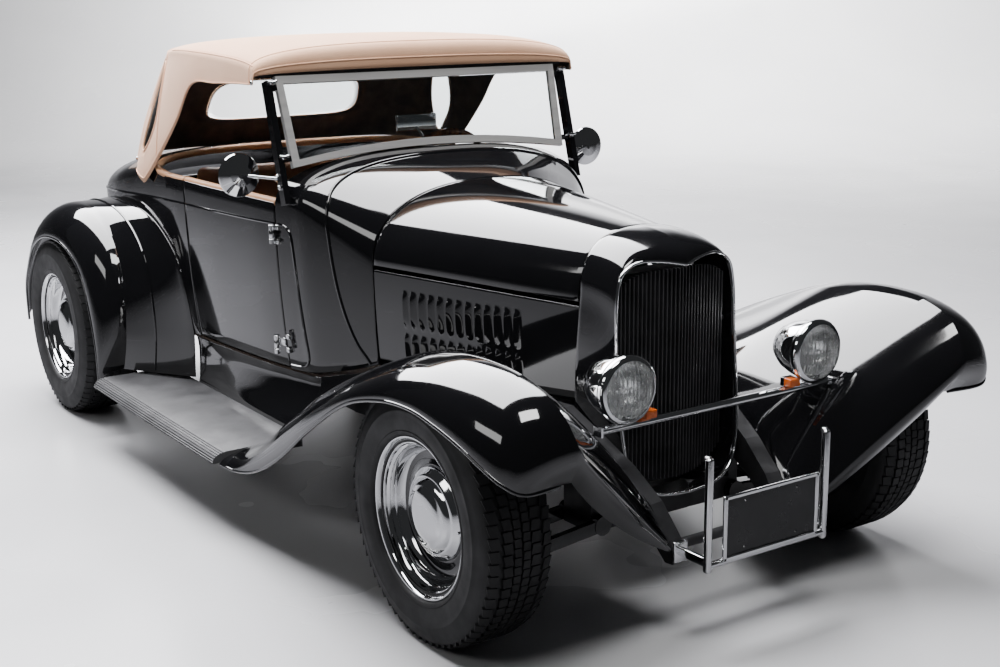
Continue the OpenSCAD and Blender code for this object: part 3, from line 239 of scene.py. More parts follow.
# Shaping -------------------------------------------------------------------------------------


def along(stations, u):
    """The station, or row of numbers, on a smooth curve through a list at place u."""
    last = len(stations) - 1
    i = min(int(u), last - 1)
    a, b, c, d = (np.array(stations[min(max(k, 0), last)], float) for k in (i - 1, i, i + 1, i + 2))
    t = u - i
    return 0.5 * (2 * b + (c - a) * t + (2 * a - 5 * b + 4 * c - d) * t * t + (3 * b - a - 3 * c + d) * t ** 3)


def piece(mesh, name, finishes, body="chassis", nodes=(), slot=None, solid=True, sharp=38):
    """Ends a mesh as a shown piece that rides on a body and stands for some nodes."""
    if solid:
        bmesh.ops.remove_doubles(mesh, verts=mesh.verts, dist=1e-6)
        bmesh.ops.recalc_face_normals(mesh, faces=mesh.faces)
    data = bpy.data.meshes.new(name)
    mesh.to_mesh(data)
    mesh.free()
    for polygon in data.polygons:
        polygon.use_smooth = True
    data.set_sharp_from_angle(angle=math.radians(sharp))
    made = bpy.data.objects.new(name, data)
    scene.collection.objects.link(made)
    for finish in finishes if isinstance(finishes, (list, tuple)) else [finishes]:
        data.materials.append(finish.material)
    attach(made, body)
    if nodes:
        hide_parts(*nodes)
    return made


def panel(name, grid, inside, finishes, wall=3.0, gaps=(), ring=False, edge=1.0, lined=False, cloth=False, **ends):
    """A sheet through a grid of points, with its wall inward. Cells inside a gap are left open."""
    grid = np.array(grid, float)
    rows, cols = grid.shape[:2]
    mesh = bmesh.new()
    bmesh.ops.create_grid(mesh, x_segments=rows - 1, y_segments=cols - 1, size=1)
    cell = lambda co, shift: (int(round((co.x + 1) / 2 * (rows - 1) - shift)), int(round((co.y + 1) / 2 * (cols - 1) - shift)))
    opened = []
    for face in mesh.faces:
        i, j = cell(face.calc_center_median(), 0.5)
        if any(g[0] <= i < g[1] and g[2] <= j < g[3] for g in gaps):
            opened.append(face)
    bmesh.ops.delete(mesh, geom=opened, context="FACES")
    if cloth:
        run = np.linalg.norm(np.diff(grid, axis=1), axis=2) / 1000
        across = np.concatenate([np.zeros((rows, 1)), np.cumsum(run, axis=1)], axis=1)
        across -= across[:, -1:] / 2
        down = np.concatenate([[0], np.cumsum(np.linalg.norm(np.diff(grid[:, cols // 2], axis=0), axis=1) / 1000)])
        layer = mesh.loops.layers.uv.new("weave")
        for face in mesh.faces:
            for loop in face.loops:
                i, j = cell(loop.vert.co, 0)
                loop[layer].uv = (across[i][j], down[i])
    for vertex in mesh.verts:
        i, j = cell(vertex.co, 0)
        vertex.co = metres(grid[i][j])
    if ring:
        bmesh.ops.remove_doubles(mesh, verts=mesh.verts, dist=1e-6)
    mesh.normal_update()
    middle = metres(inside)
    if sum(f.normal.dot(f.calc_center_median() - middle) * f.calc_area() for f in mesh.faces) < 0:
        bmesh.ops.reverse_faces(mesh, faces=mesh.faces)
    made = piece(mesh, name, finishes, solid=False, **ends)
    thick = made.modifiers.new("wall", "SOLIDIFY")
    thick.thickness, thick.offset = wall / 1000, -1
    if lined:
        thick.material_offset = 1
    if edge:
        rolled = made.modifiers.new("edges", "BEVEL")
        rolled.width, rolled.segments, rolled.limit_method = edge / 1000, 2, "ANGLE"
        rolled.angle_limit = math.radians(50)
        rolled.harden_normals = False
    return made


def add_block(mesh, low, high, bevel=0.0, turn=None):
    """A rounded block between two corners, in millimetres from the front axle."""
    low, high = Vector(low), Vector(high)
    size, middle = high - low, (low + high) / 2
    made = bmesh.ops.create_cube(mesh, size=1)["verts"]
    bmesh.ops.scale(mesh, verts=made, vec=size)
    if bevel:
        edges = {e for v in made for e in v.link_edges}
        cut = bmesh.ops.bevel(mesh, geom=list(edges), offset=bevel, affect="EDGES", segments=3, profile=0.5, material=-1)
        made = list({v for f in cut["faces"] for v in f.verts} | {v for v in made if v.is_valid})
    if turn is not None:
        bmesh.ops.transform(mesh, matrix=turn, verts=made)
    place = Matrix.Scale(0.001, 4) @ Matrix.Translation(middle + Vector((AXLE_AHEAD, 0, 0)))
    bmesh.ops.transform(mesh, matrix=place, verts=made)


def add_turned(mesh, profile, centre, axis, steps=64, closed=False):
    """A profile of [radius, distance along the axis], turned about an axis through a point."""
    points = [mesh.verts.new((r / 1000, 0, d / 1000)) for r, d in profile]
    edges = [mesh.edges.new(pair) for pair in zip(points, points[1:])]
    if closed:
        edges.append(mesh.edges.new((points[-1], points[0])))
    before = set(mesh.verts) - set(points)
    bmesh.ops.spin(mesh, geom=points + edges, cent=(0, 0, 0), axis=(0, 0, 1), angle=2 * math.pi, steps=steps,
        use_merge=True)
    made = [v for v in mesh.verts if v not in before]
    bmesh.ops.remove_doubles(mesh, verts=made, dist=1e-6)
    made = [v for v in mesh.verts if v not in before]
    turn = Vector(axis).to_track_quat("Z", "X").to_matrix().to_4x4()
    bmesh.ops.transform(mesh, matrix=Matrix.Translation(metres(centre)) @ turn, verts=made)
    return made


def add_tube(mesh, path, radius, sides=8, closed=False):
    """A round rod along points, by extruding a ring from each point to the next."""
    points = [metres(p) for p in path]
    count = len(points)
    frames, side = [], None
    for k, point in enumerate(points):
        back = points[(k - 1) % count if closed else max(k - 1, 0)]
        fore = points[(k + 1) % count if closed else min(k + 1, count - 1)]
        run = (fore - back).normalized()
        side = (side - run * side.dot(run)).normalized() if side else run.orthogonal().normalized()
        frames.append(Matrix.Translation(point) @ Matrix((side, run.cross(side), run)).transposed().to_4x4())
    first = bmesh.ops.create_circle(mesh, segments=sides, radius=radius / 1000, matrix=frames[0])["verts"]
    edges = list({e for v in first for e in v.link_edges})
    start = list(edges)
    for k in range(1, count):
        grown = bmesh.ops.extrude_edge_only(mesh, edges=edges)["geom"]
        moved = [g for g in grown if isinstance(g, bmesh.types.BMVert)]
        edges = [g for g in grown if isinstance(g, bmesh.types.BMEdge) and g.verts[0] in moved and g.verts[1] in moved]
        bmesh.ops.transform(mesh, matrix=frames[k] @ frames[k - 1].inverted(), verts=moved)
    if closed:
        bmesh.ops.bridge_loops(mesh, edges=edges + start)
    else:
        bmesh.ops.contextual_create(mesh, geom=edges)
        bmesh.ops.contextual_create(mesh, geom=start)


def flipped(point):
    return np.array([point[0], -point[1], point[2]])


# Body surface --------------------------------------------------------------------------------
# A station is [shoulder x, shoulder y, shoulder z, crown x, crown z, bottom y, bottom z, squareness].


def side_point(s, t):
    return np.array([s[0], s[1] - (s[1] - s[5]) * (1 - t) ** 2, s[6] + (s[2] - s[6]) * t])


def crown_point(s, turn):
    a = math.radians(turn)
    rise, reach = math.sin(a) ** (2 / s[7]), max(math.cos(a), 0.0) ** (2 / s[7])
    return np.array([s[0] + (s[3] - s[0]) * rise, s[1] * reach, s[2] + (s[4] - s[2]) * rise])


def arch(s, first, count=48):
    turns = np.linspace(first, 180 - first, count + 1)
    return [crown_point(s, t) if t <= 90 else flipped(crown_point(s, 180 - t)) for t in turns]


SIDE_COUNT, CROWN_STEP = 12, 3.75


def full_row(s):
    half = [side_point(s, t) for t in np.linspace(0, 1, SIDE_COUNT + 1)]
    half += [crown_point(s, CROWN_STEP * k) for k in range(1, int(90 / CROWN_STEP))]
    return half + [np.array([s[3], 0, s[4]])] + [flipped(p) for p in reversed(half)]


HOOD = [[-65, 205, 795, -65, 982, 198, 518.3, 2.3], [-309.2, 275, 799, -309.2, 1004, 266, 518.3, 2.3],
    [-560.8, 345, 803, -560.8, 1023, 335, 518.3, 2.3], [-805, 412, 806, -805, 1040, 400, 518.3, 2.3]]
COWL = [[-810, 413, 806, -810, 1040, 401, 500, 2.3], [-905, 463, 868, -897, 1070, 446, 470, 2.3],
    [-1020, 521, 942, -1010, 1100, 500, 446, 2.35], [-1095, 542, 962, -1070, 1110, 516, 437, 2.4],
    [-1160, 558, 968, -1127, 1113, 528, 435, 2.5]]
SIDE = [[-1165, 559, 970, 0, 0, 528, 440, 2], [-1300, 580, 976, 0, 0, 548, 440, 2],
    [-1560, 604, 982, 0, 0, 571, 440, 2], [-1760, 613, 985, 0, 0, 580, 440, 2]]
rx = REAR_X
REAR = [[-1765, 613, 985, rx + 577, 1040, 580, 435, 3], [rx + 800, 617, 985, rx + 512, 1040, 582, 435, 3],
    [rx + 730, 618, 985, rx + 440, 1040, 582, 435, 3], [rx + 570, 617, 974, rx + 360, 1039, 581, 435, 2.7],
    [rx + 400, 612, 950, rx + 270, 1036, 579, 435, 2.4], [rx + 250, 604, 925, rx + 190, 1032, 572, 435, 2.4],
    [rx + 110, 588, 893, rx + 90, 1024, 554, 435, 2.4], [rx - 90, 548, 848, rx - 120, 992, 516, 435, 2.4],
    [rx - 225, 506, 795, rx - 268, 940, 474, 435, 2.4], [rx - 320, 462, 730, rx - 375, 848, 432, 435, 2.4],
    [rx - 385, 408, 645, rx - 428, 722, 382, 435, 2.4], [rx - 412, 356, 545, rx - 450, 585, 342, 435, 2.4],
    [rx - 415, 343, 443, rx - 452, 439, 340, 435, 2.4]]


def station_at(table, x):
    low, high = 0.0, float(len(table) - 1)
    for _ in range(24):
        middle = (low + high) / 2
        low, high = (middle, high) if along(table, middle)[0] > x else (low, middle)
    return along(table, low)


def on_side(table, x, z, out=0.0):
    """The point of the body side at a place along the car and a height, moved out a little."""
    s = station_at(table, x)
    p = side_point(s, (z - s[6]) / (s[2] - s[6]))
    return np.array([x, p[1] + out, z])


# Hood ----------------------------------------------------------------------------------------

panel("hood_top", [arch(along(HOOD, u), 0.5) for u in np.linspace(0.045, 2.996, 31)], (-400, 0, 700), gloss_black,
    wall=6, body="hood_top", nodes=["hood_top"], slot="black_paint")


def louvre_rise(x, z):
    """How far the hood side stands out in a louvre: a ramp that opens towards the rear."""
    for low, high in ((640, 742), (532, 616)):
        if low < z < high:
            tall = (1 - abs((z - (low + high) / 2) / ((high - low) / 2)) ** 3.5) ** 0.5
            step = ((-256 - x) % 34.5) / 34.5
            if -260 > x > -688:
                return 9.5 * tall * (step / 0.62) ** 1.3 if step < 0.62 else 9.5 * tall * max(0, 1 - (step - 0.62) / 0.07)
    return 0.0


for side in (1, -1):
    rows = []
    for u in np.linspace(0.02, 2.996, 300):
        s = along(HOOD, u)
        row = []
        for t in np.linspace(0, 0.965, 46):
            p = side_point(s, t)
            row.append([p[0], side * (p[1] + louvre_rise(p[0], p[2])), p[2]])
        rows.append(row)
    panel("hood_side_" + ("left" if side > 0 else "right"), rows, (-400, 0, 650), gloss_black, wall=2.5, edge=0,
        nodes=["hood_sides"], slot="black_paint", sharp=50)

# Cowl, tub, doors and deck lid ---------------------------------------------------------------

panel("cowl_skin", [full_row(along(COWL, u)) for u in np.linspace(0, 4, 41)], (-980, 0, 700), gloss_black, wall=14,
    edge=2.5, nodes=["cowl"], slot="black_paint")
middle = SIDE_COUNT
last = len(full_row(REAR[0])) - 1
lid_edge = SIDE_COUNT + 12
panel("body_tub", [full_row(along(REAR, u)) for u in np.linspace(0, 12, 121)], (rx + 100, 0, 600), gloss_black,
    wall=16, edge=3, gaps=[(0, 20, middle, last - middle), (50, 90, lid_edge, last - lid_edge)], nodes=["rear_body"],
    slot="black_paint")
panel("deck_lid_skin", [arch(along(REAR, u), 45.9) for u in np.linspace(5.04, 8.96, 40)], (rx, 0, 600), gloss_black,
    wall=12, edge=2, body="deck_lid", nodes=["deck_lid"], slot="black_paint")

for side, word in ((1, "left"), (-1, "right")):
    door = "door_" + word
    rows = [[side_point(along(SIDE, u), t) * (1, side, 1) for t in np.linspace(0, 1, 17)] for u in np.linspace(0, 3, 31)]
    panel(door + "_skin", rows, (-1450, 0, 700), gloss_black, wall=26, edge=3, body=door, nodes=[door], slot="black_paint")
    rows = [[side_point(along(SIDE, u), t) * (1, side, 1) - (0, side * 27, 0) for t in np.linspace(0.03, 0.95, 17)]
        for u in np.linspace(0.06, 2.94, 25)]
    panel(door + "_lining", rows, (-1450, 0, 700), brown_leather, wall=10, edge=3, body=door, slot="tan_leather")

    belt = bmesh.new()
    add_tube(belt, [on_side(SIDE, x, 905, 0.5) * (1, side, 1) for x in np.linspace(-1167, -1758, 24)], 4.2)
    piece(belt, door + "_belt_moulding", gloss_black, door, slot="black_paint")

    roll = bmesh.new()
    add_tube(roll, [(side_point(along(SIDE, u), 1) - (0, 15, 1)) * (1, side, 1) for u in np.linspace(0.02, 2.98, 22)], 13.5, 14)
    piece(roll, door + "_top_roll", trim_leather, door, slot="tan_leather")

    hinges = bmesh.new()
    leaves = bmesh.new()
    for z in (521, 873):
        y = on_side(SIDE, -1165, z)[1]
        add_block(hinges, (-1204, y * side - 5, z - 13), (-1166, y * side + 5, z + 13), 2)
        add_turned(hinges, [[0, -12], [9, -12], [9.5, -11], [9.5, 11], [9, 12], [0, 12]], (-1162.5, side * 571, z), (0, 0, 1), 20)
        for end in (-30, 14):
            add_turned(leaves, [[0, 0], [8.5, 0], [9.5, 1], [9.5, 15], [8.5, 16], [0, 16]], (-1162.5, side * 571, z + end), (0, 0, 1), 20)
            add_block(leaves, (-1160, y * side - 6, z + end), (-1138, y * side + 8, z + end + 16), 1.5)
    piece(hinges, door + "_hinge_leaves", chrome, door, slot="chrome")
    piece(leaves, "cowl_hinge_leaves_" + word, chrome, slot="chrome")

    belt = bmesh.new()
    heights = np.linspace(0, 1, 26)
    add_tube(belt, [on_side(REAR, -1768 - 1090 * k, 905 - 62 * k ** 1.6, 0.3) * (1, side, 1) for k in heights], 4.2)
    bead = [(-1155, 903), (-1128, 902), (-1108, 894), (-1094, 874), (-1088, 840), (-1080, 760), (-1070, 650),
        (-1061, 560), (-1055, 505), (-1058, 476), (-1076, 458), (-1110, 450), (-1152, 448)]
    curve = [along(bead, u) for u in np.linspace(0, 12, 49)]
    add_tube(belt, [on_side(COWL, x, z, 0.3) * (1, side, 1) for x, z in curve], 4.2)
    piece(belt, "body_mouldings_" + word, gloss_black, slot="black_paint")

# Raised bead that runs up the cowl and over its crown
BEAD_X = [-838, -876, -905, -926, -940, -950, -962, -985, -1003, -1014, -1020, -1022]


def cowl_bead_point(k):
    """k runs from 0 at the bottom edge to 11 at the crown."""
    x = along([[b] for b in BEAD_X], k)[0]
    s = station_at(COWL, x)
    if k <= 5:
        return side_point(s, 0.02 + 0.196 * k)
    low, high = 0.0, 4.0
    turn = (k - 5) * 15
    for _ in range(24):
        u = (low + high) / 2
        low, high = (u, high) if crown_point(along(COWL, u), turn)[0] > x else (low, u)
    return crown_point(along(COWL, low), turn)


bead = bmesh.new()
half = [cowl_bead_point(k) for k in np.linspace(0, 11, 60)]
add_tube(bead, half + [flipped(p) for p in reversed(half[:-1])], 5.5, 10)
piece(bead, "cowl_bead", gloss_black, slot="black_paint")

# Trim that rolls over the back of the cockpit
roll = bmesh.new()
edge = [along(REAR, u) for u in np.linspace(0.05, 2, 12)]
path = [side_point(s, 1) - (0, 15, 2) for s in edge] + [crown_point(REAR[2], t) + (14, 0, -2) for t in range(8, 91, 8)]
path = path + [flipped(p) for p in reversed(path[:-1])]
add_tube(roll, path, 13, 12)
piece(roll, "cockpit_rear_roll", trim_leather, slot="tan_leather")

# Dark lined strip behind the cockpit that the top's studs stand on
rows = [[crown_point(along(REAR, u), t) + (0, 0, 2.4) for t in np.linspace(14, 90, 24)] for u in np.linspace(2.02, 4.6, 16)]
rows = [row + [flipped(p) for p in reversed(row[:-1])] for row in rows]
panel("tack_strip", rows, (rx + 380, 0, 700), top_lining, wall=1.8, edge=0, slot="canvas")
studs = bmesh.new()
for turn in np.linspace(24, 156, 13):
    s = along(REAR, 2.5)
    spot = crown_point(s, turn) if turn <= 90 else flipped(crown_point(s, 180 - turn))
    add_turned(studs, [(0, 0), (6, 0), (6, 3), (3.5, 5), (0, 5.4)], spot + (0, 0, 2), (0, 0, 1), 14)
piece(studs, "tack_strip_studs", chrome, slot="chrome")

# Radiator shell ------------------------------------------------------------------------------

SHELL_BACK = [[0, 262], [105, 266], [176, 300], [205, 400], [221, 532], [216, 670], [205, 795], [199, 868], [178, 924],
    [132, 962], [66, 980], [0, 985]]
SHELL_FRONT = [[152, 0, 290], [148, 96, 300], [135, 160, 336], [122, 192, 400], [106, 204, 530], [94, 206, 640],
    [88, 205, 740], [85, 201, 830], [84, 184, 888], [87, 134, 915], [104, 62, 912], [124, 0, 900]]


def shell_point(k, turn, tuck=0.0):
    """k runs from the bottom middle at 0 to the top middle at 11; the turn is 90 at the opening."""
    b, f = along(SHELL_BACK, k), along(SHELL_FRONT, k)
    run, drop = math.sin(math.radians(turn)), 1 - math.cos(math.radians(turn))
    return np.array([-65 + (f[0] + 65) * run, (b[0] + (f[1] - b[0]) * drop) * (1 - tuck), b[1] + (f[2] - b[1]) * drop])


def shell_ring(turn, count=66):
    half = [shell_point(k, turn) for k in np.linspace(0, 11, count + 1)]
    return half + [flipped(p) for p in reversed(half[:-1])]


panel("radiator_shell_skin", [shell_ring(t) for t in np.linspace(90, 0, 22)], (20, 0, 600), gloss_black, wall=7,
    ring=True, edge=2, nodes=["radiator_shell"], slot="black_paint")
trim = bmesh.new()
loop = [p + (1.5, 0, 0) for p in shell_ring(88)[:-1]]
add_tube(trim, loop, 4.2, 10, closed=True)
piece(trim, "grille_opening_trim", chrome, slot="chrome")

# Fenders -------------------------------------------------------------------------------------
# A station is [lip x, y, z, crown x, y, z, inner x, y, z, sag of the inner slope].

TURN = (412.0 - 192 - 0) and math.radians(8.664)


def rail_side(x):
    return 192 + (330 - x) * math.tan(TURN) + 23 / math.cos(TURN) + 0.8


fh, rh = 844.5, 840
FRONT_FENDER = [[455, fh - 185, 525, 462, fh - 215, 530, 338, rail_side(338), 224, 0.62],
    [478, fh - 78, 532, 510, fh - 205, 600, 336, rail_side(336), 236, 0.55],
    [452, fh - 33, 556, 490, fh - 190, 672, 318, rail_side(318), 262, 0.5],
    [400, fh - 12, 588, 434, fh - 176, 728, 280, rail_side(280), 305, 0.45],
    [330, fh - 3, 618, 335, fh - 168, 762, 220, rail_side(220), 355, 0.42],
    [235, fh, 641, 225, fh - 165, 773, 150, rail_side(150), 405, 0.4],
    [118, fh, 655, 105, fh - 165, 768, 55, rail_side(55), 452, 0.4],
    [-24, fh, 643, -30, fh - 165, 744, -65, rail_side(-65), 486, 0.4],
    [-205, fh, 591, -220, fh - 165, 676, -230, rail_side(-230), 496, 0.4],
    [-409, fh, 474, -425, fh - 162, 588, -400, rail_side(-400), 500, 0.36],
    [-600, fh, 345, -605, fh - 158, 494, -600, rail_side(-600) + 2, 496, 0.3],
    [-760, fh, 262, -765, fh - 155, 385, -790, 412, 482, 0.28],
    [-900, fh, 222, -900, fh - 150, 296, -900, 454, 461, 0.15],
    [-999.4, fh + 10, 220, -999.4, fh - 170, 262, -999.4, 503, 438, 0.05]]
REAR_FENDER = [[rx + 496, rh - 2, 215, rx + 530, rh - 90, 269, rx + 800, 584, 270, 0.5],
    [rx + 492, rh - 2, 345, rx + 556, rh - 100, 400, rx + 812, 588, 440, 0.45],
    [rx + 450, rh - 2, 488, rx + 538, rh - 108, 582, rx + 796, 602, 600, 0.42],
    [rx + 368, rh - 2, 620, rx + 455, rh - 112, 728, rx + 735, 608, 718, 0.4],
    [rx + 205, rh, 694, rx + 290, rh - 116, 814, rx + 560, 611, 815, 0.36],
    [rx - 4, rh, 697, rx + 90, rh - 118, 834, rx + 290, 602, 850, 0.32],
    [rx - 174, rh - 2, 642, rx - 100, rh - 124, 798, rx + 20, 570, 838, 0.32],
    [rx - 282, rh - 6, 546, rx - 262, rh - 134, 700, rx - 180, 518, 775, 0.35],
    [rx - 372, rh - 14, 440, rx - 372, rh - 148, 570, rx - 320, 453, 650, 0.4],
    [rx - 432, rh - 30, 290, rx - 436, rh - 168, 380, rx - 410, 368, 450, 0.45]]


def quarter(k, e, sag, turn):
    rise, run = 1 - math.cos(math.radians(turn)), math.sin(math.radians(turn))
    over, down = (1 - sag) * run + sag * rise, (1 - sag) * rise + sag * run
    return np.array([k[0] + (e[0] - k[0]) * down, k[1] + (e[1] - k[1]) * over, k[2] + (e[2] - k[2]) * down])


def fender_row(s):
    lip, top, inner = s[0:3], s[3:6], s[6:9]
    return [quarter(top, lip, 0, t) for t in np.linspace(90, 0, 16)] + [quarter(top, inner, s[9], t)
        for t in np.linspace(6, 90, 15)]


def beside_body(rows):
    for row in rows:
        p = row[-1]
        s = station_at(REAR, p[0])
        t = max(0, (p[2] - s[6]) / (s[2] - s[6]))
        row[-1] = np.array([p[0], side_point(s, t)[1] + 2.2, p[2]])
    return rows


for name, table, count, hub, node in (("front_fender", FRONT_FENDER, 118, (0, 672, 300), "front_fenders"),
        ("rear_fender", REAR_FENDER, 100, (rx, 719, 300), "rear_fenders")):
    rows = [fender_row(along(table, u)) for u in np.linspace(0, len(table) - 1, count)]
    if node == "rear_fenders":
        rows = beside_body(rows)
    for side, word in ((1, "_left"), (-1, "_right")):
        turned = (1, side, 1)
        panel(name + word, np.array(rows) * turned, (hub[0], side * hub[1], hub[2]), gloss_black, wall=4, edge=1.2,
            nodes=[node], slot="black_paint")
        lips = bmesh.new()
        add_tube(lips, [(row[0] - (0, 2.5, -1)) * turned for row in rows], 5.2, 10)
        if node == "rear_fenders":
            ribs = [along(table, u) for u in np.linspace(0.1, 7.6, 60)]
            add_tube(lips, [quarter(s[3:6], s[6:9], s[9], 40) * turned for s in ribs], 4.5, 8)
        piece(lips, name + "_beads" + word, gloss_black, slot="black_paint")

# Running boards and aprons -------------------------------------------------------------------

FEET = COWL[1:4] + [[s[0], 0, 0, 0, 0, s[5], 0, 0] for s in SIDE] + REAR[1:4]
for side, word in ((1, "_left"), (-1, "_right")):
    rows = []
    for x in np.linspace(-1001.9, rx + 820, 50):
        table = COWL if x > -1165 else SIDE if x > -1760 else REAR
        top = min(station_at(table, x)[5] - 3, 579.7)
        profile = [(579.7, 224), (579.7, 246), (579.0, 262), (576, 275), (579.7 * 0.55 + top * 0.45 - 6, 318),
            (top * 0.8 + 579.7 * 0.2 - 7, 368), (top - 5, 400), (top, 428)]
        rows.append([[x, side * along(profile, v)[0], along(profile, v)[1]] for v in np.linspace(0, 7, 29)])
    panel("splash_apron" + word, rows, (-1500, 0, 300), gloss_black, wall=4, nodes=["splash_aprons"], slot="black_paint")

    mat = bmesh.new()
    outline = [(580, 226), (580, 258)]
    outline += [(834, 258)]
    for k in range(7):
        a = math.radians(90 * (k + 0.15) / 7.0)
        b = math.radians(90 * (k + 0.75) / 7.0)
        for angle, lift in ((a, 0), (a + 0.05, 2.2), (b - 0.05, 2.2), (b, 0)):
            outline.append((838 + (38.5 + lift) * math.sin(angle), 226 + (29.5 + lift) * math.cos(angle)))
    outline.append((878, 226))
    face = mesh_face = mat.faces.new([mat.verts.new(metres((-2067, side * y, z))) for y, z in outline])
    grown = bmesh.ops.extrude_face_region(mat, geom=[face])["geom"]
    bmesh.ops.translate(mat, vec=(1.067, 0, 0), verts=[g for g in grown if isinstance(g, bmesh.types.BMVert)])
    piece(mat, "running_board_mat" + word, board_mat, nodes=["running_boards"], slot="board_rubber", sharp=30)

# Wheels and tyres ----------------------------------------------------------------------------


def tyre_profile(r, w):
    half = [(190.4, w - 24.5), (207, w - 24), (211, w - 13), (215, w - 7), (222, w - 5.2), (224, w - 6.6), (232, w - 4.2),
        (r - 92, w - 1.2), (r - 74, w), (r - 63, w - 0.5), (r - 61.5, w + 0.0), (r - 58, w - 0.2), (r - 56, w - 1.6),
        (r - 42, w - 4.2), (r - 28, w - 9), (r - 17, w - 15.5), (r - 9.5, w - 25), (r - 6.5, w - 38)]
    return half + [(p, -q) for p, q in reversed(half)]


def add_tread(mesh, r, w, centre, outward):
    """Rows of blocks round the tyre: two shoulder rows, two ribs each side of the middle."""
    flat = w - 30
    lanes = [(-flat, 26, 66, 3.5), (-flat * 0.54, 24, 72, 2.5), (-flat * 0.175, 19, 90, 1.2), (flat * 0.175, 19, 90, -1.2),
        (flat * 0.54, 24, 72, -2.5), (flat, 26, 66, -3.5)]
    for y, wide, count, skew in lanes:
        shoulder = abs(y) > flat * 0.9
        top = r - 0.5 - (4.4 if shoulder else 0)
        length = 2 * math.pi * r / count * 0.87
        for k in range(count):
            made = bmesh.ops.create_cube(mesh, size=1)["verts"]
            for v in made:
                v.co = Vector((v.co.x * length, (v.co.y * wide) + skew * (1 if v.co.x > 0 else -1), v.co.z * 11))
            lean = math.radians(16) * (1 if y > 0 else -1) if shoulder else 0
            place = Matrix.Rotation(2 * math.pi * (k + (0.5 if skew > 0 else 0)) / count, 4, "Y") @ Matrix.Translation(
                (0, y, top - 5.5)) @ Matrix.Rotation(-lean, 4, "X")
            bmesh.ops.transform(mesh, matrix=Matrix.Translation(metres(centre)) @ Matrix.Scale(0.001, 4) @ place, verts=made)


RING = [(208, -7), (208.6, -2), (206.5, 0), (203, -0.6), (200.5, -4), (198.5, -10), (193, -13), (188.5, -15), (186.5, -21),
    (181, -25), (177.5, -29), (175, -38), (171, -50), (166, -58), (161.5, -61.5)]
CAP = [(119.5, -62), (120, -53), (117, -50), (112, -47.5), (106, -41), (101, -38.5), (97, -38), (92, -33), (86, -28),
    (78, -24.8), (72, -23.8), (68, -21.5), (54, -17), (34, -14.6), (16, -14), (0, -13.8)]


def centre_profile(lip):
    return [(0, 26), (0, lip - 66), (112, lip - 64), (122, lip - 60), (128, lip - 61), (136, lip - 66.5), (150, lip - 66.5),
        (163, lip - 62), (171, lip - 52), (178, lip - 32), (190, lip - 17), (203, lip - 8), (203, lip - 9.6),
        (190.2, lip - 11), (190.2, -lip + 0), (202, -lip - 2), (184, -lip - 2), (184, -20), (164, 6), (160, lip - 74),
        (120, lip - 76), (90, 26)]


for name, x, y, r, w in (("front", 0, 672, 333, 102.5), ("rear", rx, 719, 343, 115)):
    for side, word in ((1, "_left"), (-1, "_right")):
        body, hub, axis = "wheel_" + name + word, (x, side * y, r), (0, side, 0)
        lip = w - 14
        rubber = bmesh.new()
        add_turned(rubber, [(p, q) for p, q in tyre_profile(r, w)], hub, axis, 96, closed=True)
        bmesh.ops.recalc_face_normals(rubber, faces=rubber.faces)
        add_tread(rubber, r, w, hub, axis)
        piece(rubber, "tyre_" + name + word, tyre_rubber, body, ["tyre_" + name + word], "tyre", sharp=42)
        steel = bmesh.new()
        add_turned(steel, centre_profile(lip), hub, axis, 72, closed=True)
        piece(steel, "wheel_steel_" + name + word, gloss_black, body, ["rim_" + name + word], "chrome")
        bright = bmesh.new()
        for profile in (RING, CAP):
            back = [(max(p - 1.4, 0), q - 1.6) for p, q in reversed(profile)]
            add_turned(bright, [(p, q + lip) for p, q in profile + back], hub, axis, 96, closed=profile is RING)
        add_tube(bright, [(x + 176, side * (y + lip - 30), r + 12), (x + 170, side * (y + lip - 12), r + 12)], 4, 10)
        piece(bright, "trim_ring_and_cap_" + name + word, chrome, body, slot="chrome", sharp=28)

# Lamps and front bar -------------------------------------------------------------------------

